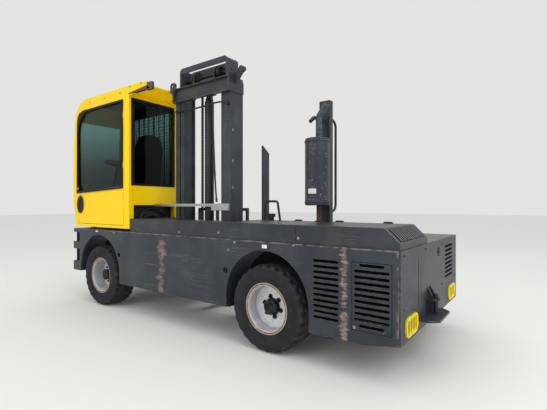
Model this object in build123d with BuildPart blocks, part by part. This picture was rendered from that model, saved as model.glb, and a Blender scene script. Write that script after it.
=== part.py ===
"""Side loader forklift: a four-wheeled truck whose mast stands in a well across the frame, lifts
beside the truck and lays long loads on the decks in front of and behind the well.

Frame: +X is forward, +Y is the driver's side (left), +Z is up. The origin is on the ground under the
middle of the overall box. Millimetres.
"""

from build123d import *
import os

os.makedirs("parts", exist_ok=True)

# Frame, a welded box of plates around a well that is open to the right and below. Its length is what lies
# behind the rear axle, between the axles and ahead of the front one
rear_overhang = 1335
wheelbase = 3030
front_overhang = 745
frame_width = 2080
tow_reach = 155
cab_proud = 5
screen_bulge = 30
deck_top = 1095
deck_plate = 12
side_plate = 15
rear_wall_bottom = 350
rear_skirt_bottom = 305
rear_skirt_slope = 310
middle_skirt_bottom = 375
front_skirt_bottom = 450
frame_length = rear_overhang + wheelbase + front_overhang
frame_back_x = (tow_reach - frame_length - cab_proud - screen_bulge) / 2
frame_front_x = frame_back_x + frame_length
half_width = frame_width / 2
plate_y = half_width - side_plate
inner_back_x = frame_back_x + side_plate
inner_front_x = frame_front_x - side_plate
deck_under = deck_top - deck_plate
top_rail_width = 65
belly_plate = 15
belly_z = 485

# Axles, wheels and arches
tyre_diameter = 863
tyre_width = 330
tread_width = 300
tread_band = 160
lug_depth = 16
rim_seat_diameter = 508
rim_flange_diameter = 560
rim_width = 254
rim_wall = 14
wheel_inset = 5
arch_radius_rear = 508
arch_radius_front = 520
arch_centre_z = 500
liner_depth = 300
liner_thickness = 8
axle_z = tyre_diameter / 2
rear_axle_x = frame_back_x + rear_overhang
front_axle_x = rear_axle_x + wheelbase
wheel_y = half_width - wheel_inset - tyre_width / 2
spindle_radius = 30
spindle_reach = 60
hub_radius = 75
running_fit = 0.3
seat_gap = 0.3

# Steering of the rear wheels
kingpin_inset = 70
kingpin_radius = 20
steer_arm = 110
steer_rod_radius = 14
axle_beam = 140
kingpin_y = wheel_y - kingpin_inset

# Mast well with its two reach rails, beside a spine box that carries the left side
well_start = 2045
well_width = 1200
bulkhead = 15
bulkhead_bottom = 450
spine_depth = 320
rail_depth = 57
rail_wall = 15
rail_web = 8
rail_opening = 100
rail_z = 560
well_rear_x = frame_back_x + well_start
well_front_x = well_rear_x + well_width
mast_x = (well_rear_x + well_front_x) / 2
spine_inner_y = half_width - spine_depth
rail_end_y = spine_inner_y - 60

# Cab
cab_length = 1485
cab_bottom = 1134
cab_top = 3060
cab_wall = 40
cab_inset = 10
cab_width = 840
cab_floor_plate = 40
cab_post = 130
door_gap = 5
door_thickness = 35
door_top = 2895
door_front_inset = 105
window_sill_front = 1665
window_sill_rear = 1710
window_head = 2870
rear_sill = 1720
rear_panel_bottom = 1455
glass = 8
glass_inset = 12
roof_overhang = 390
roof_beam = 140
brow_run = 350
screen_sill = 196
screen_head = 300
screen_side = 30
cab_front_x = frame_front_x + cab_proud
cab_back_x = cab_front_x - cab_length
cab_outer_y = half_width - cab_inset
cab_inner_y = cab_outer_y - cab_width

# Hood beside the decks, from the rear wall to the cab
hood_top = 1270
hood_skin = 8
hood_inset = 20
hood_width = 805
hood_slope_run = 130
hood_slope_drop = 124
hood_gap = 5
hood_setback = 10
lid_front = 980
rear_cover_front = 1908
strip_seam = 2618
seam_gap = 3
hood_y = half_width - hood_inset
hood_inner_y = hood_y - hood_width
hood_strip_y = spine_inner_y + 2
hood_front_x = cab_back_x - hood_setback

# Mast
mast_clearance = 80
mast_depth = 220
outer_half = 500
upright_width = 80
upright_web = 22
mast_foot_z = 265
inner_play = 10
inner_half = 412
inner_width = 62
inner_web = 18
inner_flange = 20
inner_foot_z = 275
inner_top = 3270
crosshead_height = 262
crosshead_half = 432
crosshead_plate = 25
roller_gap = 0.4
pivot_z = 300
pivot_radius = 30
cheek_plate = 22
cheek_gap = 16
reach_beam_gap = 40
reach_beam_depth = 32
lift_cylinder_radius = 60
lift_rod_radius = 40
chain_offset = 184.5
chain_thickness = 18
chain_width = 30
sheave_radius = 76
carriage_half = 453
fork_spacing = 300
fork_width = 150
fork_thickness = 50
fork_shank = 55
fork_length = 1120
fork_bottom = 130
fork_top = 780
carriage_plate = 40
mast_near_y = spine_inner_y - mast_clearance
mast_far_y = mast_near_y - mast_depth
inner_near_y = mast_near_y - inner_play
inner_far_y = mast_far_y + inner_play
outer_top = inner_top - 270
crosshead_z = inner_top - crosshead_height
sheave_z = inner_top - 150
pivot_y = (mast_near_y + mast_far_y) / 2
lift_cylinder_y = pivot_y - 25
chain_y = mast_far_y + 32
reach_beam_y = mast_near_y + reach_beam_gap
carriage_y = mast_far_y - 175


def bar(x, y, z, mode=Mode.ADD):
    """A rectangular bar between two values on each axis, added to or cut from the part being made."""
    with Locations(((x[0] + x[1]) / 2, (y[0] + y[1]) / 2, (z[0] + z[1]) / 2)):
        Box(abs(x[1] - x[0]), abs(y[1] - y[0]), abs(z[1] - z[0]), mode=mode)


def side_plane(y):
    """A plane across Y whose sketches have X to the right and Z up; extruding goes towards -Y."""
    return Plane.XZ.offset(-y)


def cross_plane(x):
    """A plane across X whose sketches have Y to the right and Z up; extruding goes towards +X."""
    return Plane.YZ.offset(x)


def rod_x(x, y, z, radius, mode=Mode.ADD):
    """A round bar along X between two values of x, at one y and z."""
    with Locations(((x[0] + x[1]) / 2, y, z)):
        Cylinder(radius, abs(x[1] - x[0]), rotation=(0, 90, 0), mode=mode)


def rod_y(x, y, z, radius, mode=Mode.ADD):
    """A round bar along Y between two values of y, at one x and z."""
    with Locations((x, (y[0] + y[1]) / 2, z)):
        Cylinder(radius, abs(y[1] - y[0]), rotation=(90, 0, 0), mode=mode)


def rod_z(x, y, z, radius, mode=Mode.ADD):
    """A round bar along Z between two values of z, at one x and y."""
    with Locations((x, y, (z[0] + z[1]) / 2)):
        Cylinder(radius, abs(z[1] - z[0]), mode=mode)


def save(part, name):
    """Labels a finished piece and writes it to its own file."""
    part.label = name
    export_step(part, f"parts/{name}.step")


def side_outline(first_x, last_x):
    """The side plates' outline from the rear wall to the front wall, cut to a stretch of the frame."""
    with BuildSketch() as outline:
        with BuildLine():
            Polyline(
                (inner_back_x, rear_wall_bottom),
                (inner_back_x + rear_skirt_slope, rear_skirt_bottom),
                (rear_axle_x, rear_skirt_bottom),
                (rear_axle_x, middle_skirt_bottom),
                (front_axle_x, middle_skirt_bottom),
                (front_axle_x, front_skirt_bottom),
                (inner_front_x, front_skirt_bottom),
                (inner_front_x, deck_top),
                (inner_back_x, deck_top),
                close=True,
            )
        make_face()
        for axle_x, radius in arches:
            with Locations((axle_x, arch_centre_z)):
                Circle(radius, mode=Mode.SUBTRACT)
            with Locations((axle_x, arch_centre_z / 2)):
                Rectangle(2 * radius, arch_centre_z, mode=Mode.SUBTRACT)
        with Locations(((first_x + last_x) / 2, deck_top / 2)):
            Rectangle(last_x - first_x, deck_top, mode=Mode.INTERSECT)
    return outline.sketch


def arch_liner(axle_x, radius):
    """The section of a bent sheet over a wheel, along the edge of its arch."""
    outer_radius = radius + liner_thickness
    with BuildSketch() as section:
        with Locations((axle_x, arch_centre_z)):
            Circle(outer_radius)
            Rectangle(
                3 * radius, 2 * radius, align=(Align.CENTER, Align.MAX), mode=Mode.SUBTRACT
            )
            Rectangle(
                2 * outer_radius,
                arch_centre_z - front_skirt_bottom,
                align=(Align.CENTER, Align.MAX),
            )
            Circle(radius, mode=Mode.SUBTRACT)
            Rectangle(
                2 * radius, radius, align=(Align.CENTER, Align.MAX), mode=Mode.SUBTRACT
            )
    return section.sketch


arches = ((rear_axle_x, arch_radius_rear), (front_axle_x, arch_radius_front))

# Slots in the left side: distance from the frame's back, length, first height and how many, one pitch apart
slot_height = 26
slot_pitch = 50
left_slots = (
    (655, 250, 962, 11),
    (237, 302, 908, 9),
    (236, 216, 958, 1),
    (236, 216, 458, 1),
)
# Jacking holes: distance behind the front axle and ahead of the rear one, and height
side_holes = ((front_axle_x - 508, 769), (rear_axle_x + 519, 765))
side_hole_radius = 31

# Step well ahead of the left front arch: open from the plate's edge, between the treads' boxes
step_post = 45
step_well_top = 1035
step_back_x = front_axle_x + arch_radius_front + step_post

with BuildPart() as side_frame_left:
    with BuildSketch(side_plane(half_width)):
        add(side_outline(inner_back_x, inner_front_x))
        for setback, length, height, count in left_slots:
            for step in range(count):
                with Locations((frame_back_x + setback, height - step * slot_pitch)):
                    SlotOverall(length, slot_height, mode=Mode.SUBTRACT)
        for x, height in side_holes:
            with Locations((x, height)):
                Circle(side_hole_radius, mode=Mode.SUBTRACT)
    extrude(amount=side_plate)
    bar(
        (step_back_x, frame_front_x),
        (plate_y, half_width),
        (front_skirt_bottom, step_well_top),
        mode=Mode.SUBTRACT,
    )
    for axle_x, radius in arches:
        with BuildSketch(side_plane(plate_y)):
            add(arch_liner(axle_x, radius))
        extrude(amount=liner_depth)
    bar((inner_back_x, inner_front_x), (plate_y - top_rail_width, plate_y), (deck_under, deck_top))
save(side_frame_left.part, "side_frame_left")

with BuildPart() as side_frame_right:
    for first_x, last_x in (
        (inner_back_x, well_rear_x - bulkhead),
        (well_front_x + bulkhead, inner_front_x),
    ):
        with BuildSketch(side_plane(-plate_y)):
            add(side_outline(first_x, last_x))
        extrude(amount=side_plate)
    for axle_x, radius in arches:
        with BuildSketch(side_plane(-plate_y + liner_depth)):
            add(arch_liner(axle_x, radius))
        extrude(amount=liner_depth)
save(side_frame_right.part, "side_frame_right")

# Rear wall with its vent, its filler hole and two lamp openings
vent_y = 400 - half_width
vent_length = 360
vent_top = 1000
vent_pitch = 47
vent_count = 8
wall_hole_y = -170
wall_hole_z = 978
wall_hole_radius = 50
wall_seam = 4
wall_seam_y = half_width - 477
wall_seam_z = (500, 950)
lamp_y = (half_width - 265, 280 - half_width)
lamp_z = 465
lamp_width = 332
lamp_height = 165
lamp_radius = 72
lamp_frame = 22

with BuildPart() as rear_wall:
    with BuildSketch(cross_plane(frame_back_x)):
        with Locations((0, (rear_wall_bottom + deck_top) / 2)):
            Rectangle(frame_width, deck_top - rear_wall_bottom)
        for step in range(vent_count):
            with Locations((vent_y, vent_top - step * vent_pitch)):
                SlotOverall(vent_length, slot_height, mode=Mode.SUBTRACT)
        with Locations((wall_hole_y, wall_hole_z)):
            Circle(wall_hole_radius, mode=Mode.SUBTRACT)
        for y in lamp_y:
            with Locations((y, lamp_z)):
                RectangleRounded(
                    lamp_width - 2 * lamp_frame,
                    lamp_height - 2 * lamp_frame,
                    lamp_radius - lamp_frame,
                    mode=Mode.SUBTRACT,
                )
    extrude(amount=side_plate)
    bar(
        (frame_back_x, frame_back_x + wall_seam),
        (wall_seam_y - wall_seam / 2, wall_seam_y + wall_seam / 2),
        wall_seam_z,
        mode=Mode.SUBTRACT,
    )

step_wall_y = half_width - 240
with BuildPart() as front_wall:
    bar(
        (inner_front_x, frame_front_x), (-half_width, half_width), (front_skirt_bottom, deck_top)
    )
    fillet(front_wall.edges().filter_by(Axis.Z).group_by(Axis.X)[-1], side_plate * 0.8)
    bar(
        (inner_front_x, frame_front_x),
        (step_wall_y, half_width),
        (front_skirt_bottom, step_well_top),
        mode=Mode.SUBTRACT,
    )

with BuildPart() as end_walls:
    add(rear_wall.part)
    add(front_wall.part)
save(end_walls.part, "end_walls")

# Two steps to the cab: treads on boxes in a well whose inner walls lie back from them
step_sheet = 8
step_front_wall_x = frame_front_x - 65
step_boxes = ((0.780, 0.890), (0.450, 0.590))
step_lip = 10
with BuildPart() as cab_steps:
    bar(
        (step_back_x - step_sheet, step_front_wall_x),
        (step_wall_y, step_wall_y + step_sheet),
        (front_skirt_bottom, step_well_top),
    )
    bar(
        (step_back_x - step_sheet, step_back_x),
        (step_wall_y + step_sheet, plate_y),
        (front_skirt_bottom, step_well_top),
    )
    bar(
        (step_front_wall_x - step_sheet, step_front_wall_x),
        (step_wall_y + step_sheet, plate_y),
        (front_skirt_bottom, step_well_top),
    )
    for low, high in step_boxes:
        bar((step_back_x, frame_front_x), (step_wall_y, half_width), (1000 * low, 1000 * high))
        bar(
            (step_back_x + step_lip, frame_front_x - step_lip),
            (step_wall_y + 2 * step_lip, half_width - step_lip),
            (1000 * high - step_lip, 1000 * high),
            mode=Mode.SUBTRACT,
        )
save(cab_steps.part, "cab_steps")

# Decks: each free load deck is a plate of its own, with another plate beside it under the exhaust's post
# and the load stop, or under the cab
deck_strip = 225
post_side_y = hood_inner_y - deck_strip
cab_side_y = cab_inner_y - 25
well_back_x = well_rear_x - bulkhead
well_ahead_x = well_front_x + bulkhead
deck_plates = (
    ((inner_back_x, well_back_x), (-plate_y, post_side_y - seam_gap)),
    ((inner_back_x, well_back_x), (post_side_y, hood_inner_y)),
    ((well_ahead_x, inner_front_x), (-plate_y, cab_side_y - seam_gap)),
    ((well_ahead_x, inner_front_x), (cab_side_y, hood_inner_y)),
    ((cab_back_x, inner_front_x), (hood_inner_y, plate_y - top_rail_width)),
)
with BuildPart() as decks:
    for x, y in deck_plates:
        bar(x, y, (deck_under, deck_top))
save(decks.part, "decks")

# Bulkheads of the well, and on each a channel rail for the reach rollers
with BuildPart() as well_bulkheads:
    for side in (-1, 1):
        inner_x = mast_x + side * well_width / 2
        bar(
            (inner_x, inner_x + side * bulkhead),
            (-half_width, spine_inner_y),
            (bulkhead_bottom, deck_top),
        )
save(well_bulkheads.part, "well_bulkheads")

with BuildPart() as reach_rails:
    for side in (-1, 1):
        inner_x = mast_x + side * well_width / 2
        bar(
            (inner_x, inner_x - side * rail_depth),
            (bulkhead - half_width, rail_end_y),
            (rail_z - rail_opening / 2 - rail_wall, rail_z + rail_opening / 2 + rail_wall),
        )
        bar(
            (inner_x - side * rail_web, inner_x - side * rail_depth),
            (2 * bulkhead - half_width, rail_end_y - bulkhead),
            (rail_z - rail_opening / 2, rail_z + rail_opening / 2),
            mode=Mode.SUBTRACT,
        )
save(reach_rails.part, "reach_rails")

# Spine beside the well, a closed box that carries the left side between the axles
spine_x = (
    rear_axle_x + arch_radius_rear + 2 * liner_thickness,
    front_axle_x - arch_radius_front - 2 * liner_thickness,
)
with BuildPart() as spine:
    bar(spine_x, (spine_inner_y, spine_inner_y + side_plate), (middle_skirt_bottom, deck_under))
    bar(
        spine_x,
        (spine_inner_y + side_plate, plate_y),
        (middle_skirt_bottom, middle_skirt_bottom + side_plate),
    )
    for x in (spine_x[0], spine_x[1] - side_plate):
        bar(
            (x, x + side_plate),
            (spine_inner_y + side_plate, plate_y),
            (middle_skirt_bottom + side_plate, deck_under),
        )
save(spine.part, "spine")

# Engine as one block on the belly plate behind the rear axle
engine_x = (frame_back_x + 165, rear_axle_x - arch_radius_rear - liner_thickness - 24)
engine_y = (hood_inner_y + 30, half_width - 160)
engine_top = 1150
with BuildPart() as belly:
    bar(
        (inner_back_x, rear_axle_x - arch_radius_rear - liner_thickness),
        (-plate_y, plate_y),
        (belly_z, belly_z + belly_plate),
    )
save(belly.part, "belly_plate")

with BuildPart() as engine:
    bar(engine_x, engine_y, (belly_z + belly_plate, engine_top))
    chamfer(engine.edges().filter_by(Axis.X).group_by(Axis.Z)[-1], 80)
save(engine.part, "engine_block")


def hood_shell(x, y):
    """A box cover, open below, between two values of x and y."""
    bar(x, y, (deck_top, hood_top))
    bar(
        (x[0] + hood_skin, x[1] - hood_skin),
        (y[0] + hood_skin, y[1] - hood_skin),
        (deck_top, hood_top - hood_skin),
        mode=Mode.SUBTRACT,
    )


# Rear lid with the sloped grille. It hinges on barrels along the top of a fixed wall, its far side
lid_x = (frame_back_x + 10, frame_back_x + lid_front)
slope_end_x = lid_x[0] + hood_slope_run
grille_slots = 19
grille_slot_width = 18
grille_margin = 70
lid_rise = 0.3
lid_wall_gap = 12
lid_barrel_radius = 9
lid_barrel = 50
lid_hinges = (frame_back_x + 390, frame_back_x + 930)
with BuildPart() as hood_lid:
    with BuildSketch(side_plane(hood_y)):
        with BuildLine():
            Polyline(
                (lid_x[0], deck_top + lid_rise),
                (lid_x[1], deck_top + lid_rise),
                (lid_x[1], hood_top),
                (slope_end_x, hood_top),
                (lid_x[0], hood_top - hood_slope_drop),
                close=True,
            )
        make_face()
    extrude(amount=hood_y - hood_inner_y)
    with BuildSketch(side_plane(hood_y - hood_skin)):
        with BuildLine():
            Polyline(
                (lid_x[0] + hood_skin, deck_top),
                (lid_x[1] - hood_skin, deck_top),
                (lid_x[1] - hood_skin, hood_top - hood_skin),
                (slope_end_x, hood_top - hood_skin),
                (lid_x[0] + hood_skin, hood_top - hood_slope_drop),
                close=True,
            )
        make_face()
    extrude(amount=hood_y - hood_inner_y - 2 * hood_skin, mode=Mode.SUBTRACT)
    bar(
        (slope_end_x, lid_x[1]),
        (hood_inner_y, hood_inner_y + lid_wall_gap),
        (deck_top, hood_top - hood_skin),
        mode=Mode.SUBTRACT,
    )
    grille_pitch = (hood_y - hood_inner_y - 2 * grille_margin) / (grille_slots - 1)
    slope = Plane(
        origin=(
            lid_x[0] + hood_slope_run / 2,
            (hood_y + hood_inner_y) / 2,
            hood_top - hood_slope_drop / 2,
        ),
        x_dir=(0, 1, 0),
        z_dir=(-hood_slope_drop, 0, hood_slope_run),
    )
    with BuildSketch(slope):
        with GridLocations(grille_pitch, grille_pitch, grille_slots, 1):
            Rectangle(grille_slot_width, hood_slope_run)
    extrude(amount=-3 * hood_skin, mode=Mode.SUBTRACT)
    for x in lid_hinges:
        bar(
            (x - lid_barrel - running_fit, x + running_fit),
            (hood_inner_y - 1, hood_inner_y + lid_wall_gap),
            (hood_top - hood_skin, hood_top),
            mode=Mode.SUBTRACT,
        )
        rod_x((x + running_fit, x + lid_barrel), hood_inner_y, hood_top, lid_barrel_radius)
save(hood_lid.part, "hood_lid")

# Fixed covers: one beside the exhaust, with the wall that carries the lid, and narrow ones past the well
cover_x = (lid_x[1] + hood_gap, frame_back_x + rear_cover_front)
fixed_bump = (frame_back_x + 1410, frame_back_x + 1510)
with BuildPart() as hood_cover_rear:
    hood_shell(cover_x, (hood_inner_y, hood_y))
    bar(
        (slope_end_x + hood_gap, lid_x[1]),
        (hood_inner_y, hood_inner_y + hood_skin),
        (deck_under, hood_top - lid_wall_gap),
    )
    rod_x(fixed_bump, hood_inner_y, hood_top, lid_barrel_radius)
    for x in lid_hinges:
        bar(
            (x - lid_barrel, x),
            (hood_inner_y, hood_inner_y + hood_skin),
            (hood_top - lid_wall_gap, hood_top),
        )
        rod_x((x - lid_barrel, x), hood_inner_y, hood_top, lid_barrel_radius)
save(hood_cover_rear.part, "hood_cover_rear")

strip_seam_x = frame_back_x + strip_seam
hood_pieces = (
    (cover_x[1] + hood_gap, well_back_x, hood_inner_y),
    (well_back_x + seam_gap, strip_seam_x, hood_strip_y),
    (strip_seam_x + seam_gap, well_ahead_x - seam_gap, hood_strip_y),
    (well_ahead_x, hood_front_x, hood_inner_y),
)
with BuildPart() as hood_cover_front:
    for first_x, last_x, y in hood_pieces:
        hood_shell((first_x, last_x), (y, hood_y))
save(hood_cover_front.part, "hood_cover_front")

# Exhaust beside the hood: a muffler on a channel post, its pipes set a little towards the post
exhaust_x = frame_back_x + 1130
exhaust_y = hood_inner_y + 135
pipe_y = exhaust_y - 34
muffler_radius = 135
muffler_z = (1450, 2180)
muffler_edge = 12
inlet_radius = 27
inlet_collar = 48
tail_radius = 35
tail_bore = 32
tail_straight = 2430
tail_end = (exhaust_x - 105, 2560)
tail_way = Vector(exhaust_x - tail_end[0], 0, tail_straight - tail_end[1])
post_y = hood_inner_y - 33
post_web = 8
post_width = 130
post_flange = 70
post_top = 2631
bracket_heights = (1560, 2070)
bracket_half = 25
with BuildPart() as muffler:
    rod_z(exhaust_x, exhaust_y, muffler_z, muffler_radius)
    fillet(muffler.edges().filter_by(GeomType.CIRCLE), muffler_edge)
    for z in bracket_heights:
        bar(
            (exhaust_x - bracket_half, exhaust_x + bracket_half),
            (post_y + post_web, exhaust_y - muffler_radius + muffler_edge),
            (z - bracket_half, z + bracket_half),
        )
save(muffler.part, "muffler")

with BuildPart() as exhaust_pipes:
    rod_z(exhaust_x, pipe_y, (hood_top, muffler_z[0]), inlet_radius)
    rod_z(exhaust_x, pipe_y, (hood_top, hood_top + muffler_edge), inlet_collar)
    with BuildLine():
        FilletPolyline(
            (exhaust_x, pipe_y, muffler_z[1]),
            (exhaust_x, pipe_y, tail_straight),
            (tail_end[0], pipe_y, tail_end[1]),
            radius=2 * tail_radius,
        )
    with BuildSketch(Plane.XY.offset(muffler_z[1])):
        with Locations((exhaust_x, pipe_y)):
            Circle(tail_radius)
    sweep()
    with BuildSketch(Plane(origin=(tail_end[0], pipe_y, tail_end[1]), z_dir=tail_way)):
        Circle(tail_bore)
    extrude(amount=2 * tail_radius, mode=Mode.SUBTRACT)
save(exhaust_pipes.part, "exhaust_pipes")

bow_radius = 14
bow_reach = 98
bow_bend = 80
bow_x = exhaust_x - 50
bow_z = (1385, 2422)
stub_x = exhaust_x + 50
stub_reach = 45
stub_drop = 30
with BuildPart() as exhaust_guard:
    with BuildSketch(Plane.XY.offset(deck_top)):
        with Locations((exhaust_x, post_y)):
            Rectangle(post_width, post_web, align=(Align.CENTER, Align.MIN))
            for side in (-1, 1):
                with Locations((side * (post_width - post_web) / 2, 0)):
                    Rectangle(post_web, post_flange, align=(Align.CENTER, Align.MAX))
    extrude(amount=post_top - deck_top)
    with BuildLine():
        FilletPolyline(
            (bow_x, post_y, bow_z[1]),
            (bow_x, post_y - post_flange - bow_reach, bow_z[1]),
            (bow_x, post_y - post_flange - bow_reach, bow_z[0]),
            (bow_x, post_y, bow_z[0]),
            radius=bow_bend,
        )
    with BuildSketch(side_plane(post_y)):
        with Locations((bow_x, bow_z[1])):
            Circle(bow_radius)
    sweep()
    with BuildLine():
        FilletPolyline(
            (stub_x, post_y + post_web, bow_z[1]),
            (stub_x, pipe_y, bow_z[1]),
            (stub_x, pipe_y + stub_reach, bow_z[1] - stub_drop),
            radius=stub_drop,
        )
    with BuildSketch(side_plane(post_y + post_web)):
        with Locations((stub_x, bow_z[1])):
            Circle(bow_radius)
    sweep()
save(exhaust_guard.part, "exhaust_guard")

# Load stop blade beside the well, and the hoop that guards the filler cap
stop_thickness = 20
stop_y = (post_y - 125, post_y + post_web)
stop_top = (2120, 2210)
stop_x = well_back_x - stop_thickness
hoop_x = (well_rear_x - 350, well_rear_x - 115)
hoop_y = hood_inner_y + 40
hoop_height = 230
hoop_radius = 14
hoop_lean = 40
hoop_bend = 35
cap_x = well_rear_x - 216
cap_radius = 52
cap_height = 80
cap_neck = 34
with BuildPart() as load_stop:
    with BuildSketch(cross_plane(stop_x)):
        with BuildLine():
            Polyline(
                (stop_y[0], deck_top),
                (stop_y[1], deck_top),
                (stop_y[1], stop_top[1]),
                (stop_y[0], stop_top[0]),
                close=True,
            )
        make_face()
    extrude(amount=stop_thickness)
save(load_stop.part, "load_stop")

with BuildPart() as filler_guard:
    with BuildLine():
        FilletPolyline(
            (hoop_x[0], hoop_y, hood_top - hoop_radius),
            (hoop_x[0] + hoop_lean, hoop_y, hood_top + hoop_height),
            (hoop_x[1] - hoop_lean / 4, hoop_y, hood_top + hoop_height),
            (hoop_x[1], hoop_y, hood_top - hoop_radius),
            radius=hoop_bend,
        )
    with BuildSketch(Plane.XY.offset(hood_top - hoop_radius)):
        with Locations((hoop_x[0], hoop_y)):
            Circle(hoop_radius)
    sweep()
    bar(
        (hoop_x[0] - 2 * hoop_lean, hoop_x[1] + 2 * hoop_lean),
        (hoop_y - 2 * hoop_lean, hoop_y + 2 * hoop_lean),
        (hood_top - 2 * hoop_lean, hood_top),
        mode=Mode.SUBTRACT,
    )
    rod_z(cap_x, hoop_y, (hood_top, hood_top + cap_height / 2), cap_neck)
    rod_z(cap_x, hoop_y, (hood_top + cap_height / 2, hood_top + cap_height), cap_radius)
save(filler_guard.part, "filler_guard")


def cab_outline(back, bottom, inset, top):
    """The cab's side view with its bulging windscreen and round brow, moved in by an inset."""
    foot = (cab_front_x - 60 - inset, bottom)
    waist = (cab_front_x + 20 - inset, cab_bottom + 366)
    bulge = (cab_front_x + screen_bulge - inset, cab_bottom + 966)
    brow = (cab_front_x - 20 - inset, top - 380)
    bend = (cab_front_x - 110 - inset, top - 110)
    crown = (cab_front_x - brow_run - inset, top)
    with BuildSketch() as outline:
        with BuildLine():
            Polyline(crown, (back, top), (back, bottom), foot, waist)
            ThreePointArc(waist, bulge, brow)
            ThreePointArc(brow, bend, crown)
        make_face()
    return outline.sketch


def side_window():
    """The side window's outline between the rear post and the front pillar."""
    rear = cab_back_x + cab_post + 25
    front = cab_front_x - door_front_inset - 35
    upper = (front, window_head - 330)
    turn = (front - 70, window_head - 110)
    head = (front - 260, window_head)
    with BuildSketch() as outline:
        with BuildLine():
            Polyline(
                head, (rear, window_head), (rear, window_sill_rear), (front, window_sill_front), upper
            )
            ThreePointArc(upper, turn, head)
        make_face()
    return outline.sketch


def cab_side():
    """A whole side panel of the cab with its roof beam, before any door or window is cut."""
    with BuildSketch() as outline:
        add(cab_outline(cab_back_x, floor_top, 0, cab_top))
        with BuildLine():
            Polyline(
                (cab_back_x, cab_top - roof_beam),
                (cab_back_x, cab_top),
                (cab_back_x - roof_overhang + 150, cab_top),
                (cab_back_x - roof_overhang, cab_top - 20),
                (cab_back_x - roof_overhang, cab_top - 70),
                close=True,
            )
        make_face()
    return outline.sketch


ring_y = (cab_inner_y + cab_wall, cab_outer_y - cab_wall)
floor_top = cab_bottom + cab_floor_plate
brow_x = cab_front_x - brow_run
right_y = cab_inner_y + cab_wall
screen_z = (cab_bottom + screen_sill, cab_top - screen_head)
screen_y = (ring_y[0] + screen_side, ring_y[1] - screen_side)
screen_x = (brow_x + 100, cab_front_x + 100)
foot_radius = 45

with BuildPart() as cab_floor:
    with BuildSketch(side_plane(cab_outer_y)):
        add(cab_outline(cab_back_x, cab_bottom, 0, cab_top))
        with Locations((cab_back_x + cab_length / 2, floor_top)):
            Rectangle(3 * cab_length, 3000, align=(Align.CENTER, Align.MIN), mode=Mode.SUBTRACT)
    extrude(amount=cab_width)
    for x in (cab_back_x + 120, cab_front_x - 220):
        for y in (cab_inner_y + 120, cab_outer_y - 200):
            rod_z(x, y, (deck_top, cab_bottom), foot_radius)
save(cab_floor.part, "cab_floor")

with BuildPart() as cab_right_wall:
    with BuildSketch(side_plane(right_y)):
        add(cab_side())
        add(side_window(), mode=Mode.SUBTRACT)
    extrude(amount=cab_wall)
save(cab_right_wall.part, "cab_right_wall")

# Left side: the frame round the door, with the rear post that carries the hinges
door_rear_x = cab_back_x + cab_post + door_gap
hinge_x = door_rear_x - door_gap / 2
hinge_y = cab_outer_y
hinge_radius = 9
hinge_heights = (1350, 2000, 2680)
hinge_half = 40
hinge_notch = 13


def door_outline(grow=0):
    """The door's outline, or with grow the opening around it."""
    return cab_outline(
        door_rear_x - grow,
        floor_top + door_gap - grow,
        door_front_inset - grow,
        door_top + grow,
    )


with BuildPart() as cab_left_frame:
    with BuildSketch(side_plane(cab_outer_y)):
        add(cab_side())
        add(door_outline(door_gap), mode=Mode.SUBTRACT)
    extrude(amount=cab_wall)
    for z in hinge_heights:
        bar(
            (hinge_x - hinge_notch, hinge_x),
            (hinge_y - hinge_notch, hinge_y),
            (z - hinge_half, z + 1),
            mode=Mode.SUBTRACT,
        )
        rod_z(hinge_x, hinge_y, (z + 1, z + hinge_half), hinge_radius)
save(cab_left_frame.part, "cab_left_frame")

with BuildPart() as door_frame:
    with BuildSketch(side_plane(cab_outer_y)):
        add(door_outline())
        add(side_window(), mode=Mode.SUBTRACT)
    extrude(amount=door_thickness)
    for z in hinge_heights:
        bar(
            (hinge_x, hinge_x + hinge_notch),
            (hinge_y - hinge_notch, hinge_y),
            (z, z + hinge_half + 1),
            mode=Mode.SUBTRACT,
        )
        rod_z(hinge_x, hinge_y, (z - hinge_half + 1, z + 1 - seat_gap), hinge_radius)
save(door_frame.part, "door_frame")

with BuildPart() as door_glass:
    with BuildSketch(side_plane(cab_outer_y - glass_inset)):
        add(side_window())
    extrude(amount=glass)
save(door_glass.part, "door_glass")

with BuildPart() as cab_front:
    with BuildSketch(side_plane(ring_y[1])):
        add(cab_outline(cab_back_x, cab_bottom, 0, cab_top))
    extrude(amount=ring_y[1] - ring_y[0])
    with BuildSketch(side_plane(ring_y[1])):
        add(cab_outline(cab_back_x - 10, cab_bottom - 10, cab_wall, cab_top - cab_wall))
    extrude(amount=ring_y[1] - ring_y[0], mode=Mode.SUBTRACT)
    bar((cab_back_x - 10, brow_x), ring_y, (cab_bottom - 10, cab_top + 10), mode=Mode.SUBTRACT)
    bar((cab_back_x, cab_front_x + 100), ring_y, (cab_bottom - 10, floor_top), mode=Mode.SUBTRACT)
    bar(screen_x, screen_y, screen_z, mode=Mode.SUBTRACT)
save(cab_front.part, "cab_front")

slat_count = 5
slat_pitch = 72
slat = 30
slat_z = (cab_top - 65, cab_top - 40)
with BuildPart() as cab_roof:
    bar((cab_back_x, brow_x), ring_y, (cab_top - cab_wall, cab_top))
    for step in range(slat_count):
        x = cab_back_x - slat - step * slat_pitch
        bar((x - slat, x), ring_y, slat_z)
save(cab_roof.part, "cab_roof")

with BuildPart() as cab_rear_wall:
    bar((cab_back_x, cab_back_x + cab_wall), ring_y, (floor_top, cab_top - cab_wall))
    for opening_z in ((rear_sill, window_head), (floor_top, rear_panel_bottom)):
        bar((cab_back_x, cab_back_x + cab_wall), screen_y, opening_z, mode=Mode.SUBTRACT)
save(cab_rear_wall.part, "cab_rear_wall")

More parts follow.
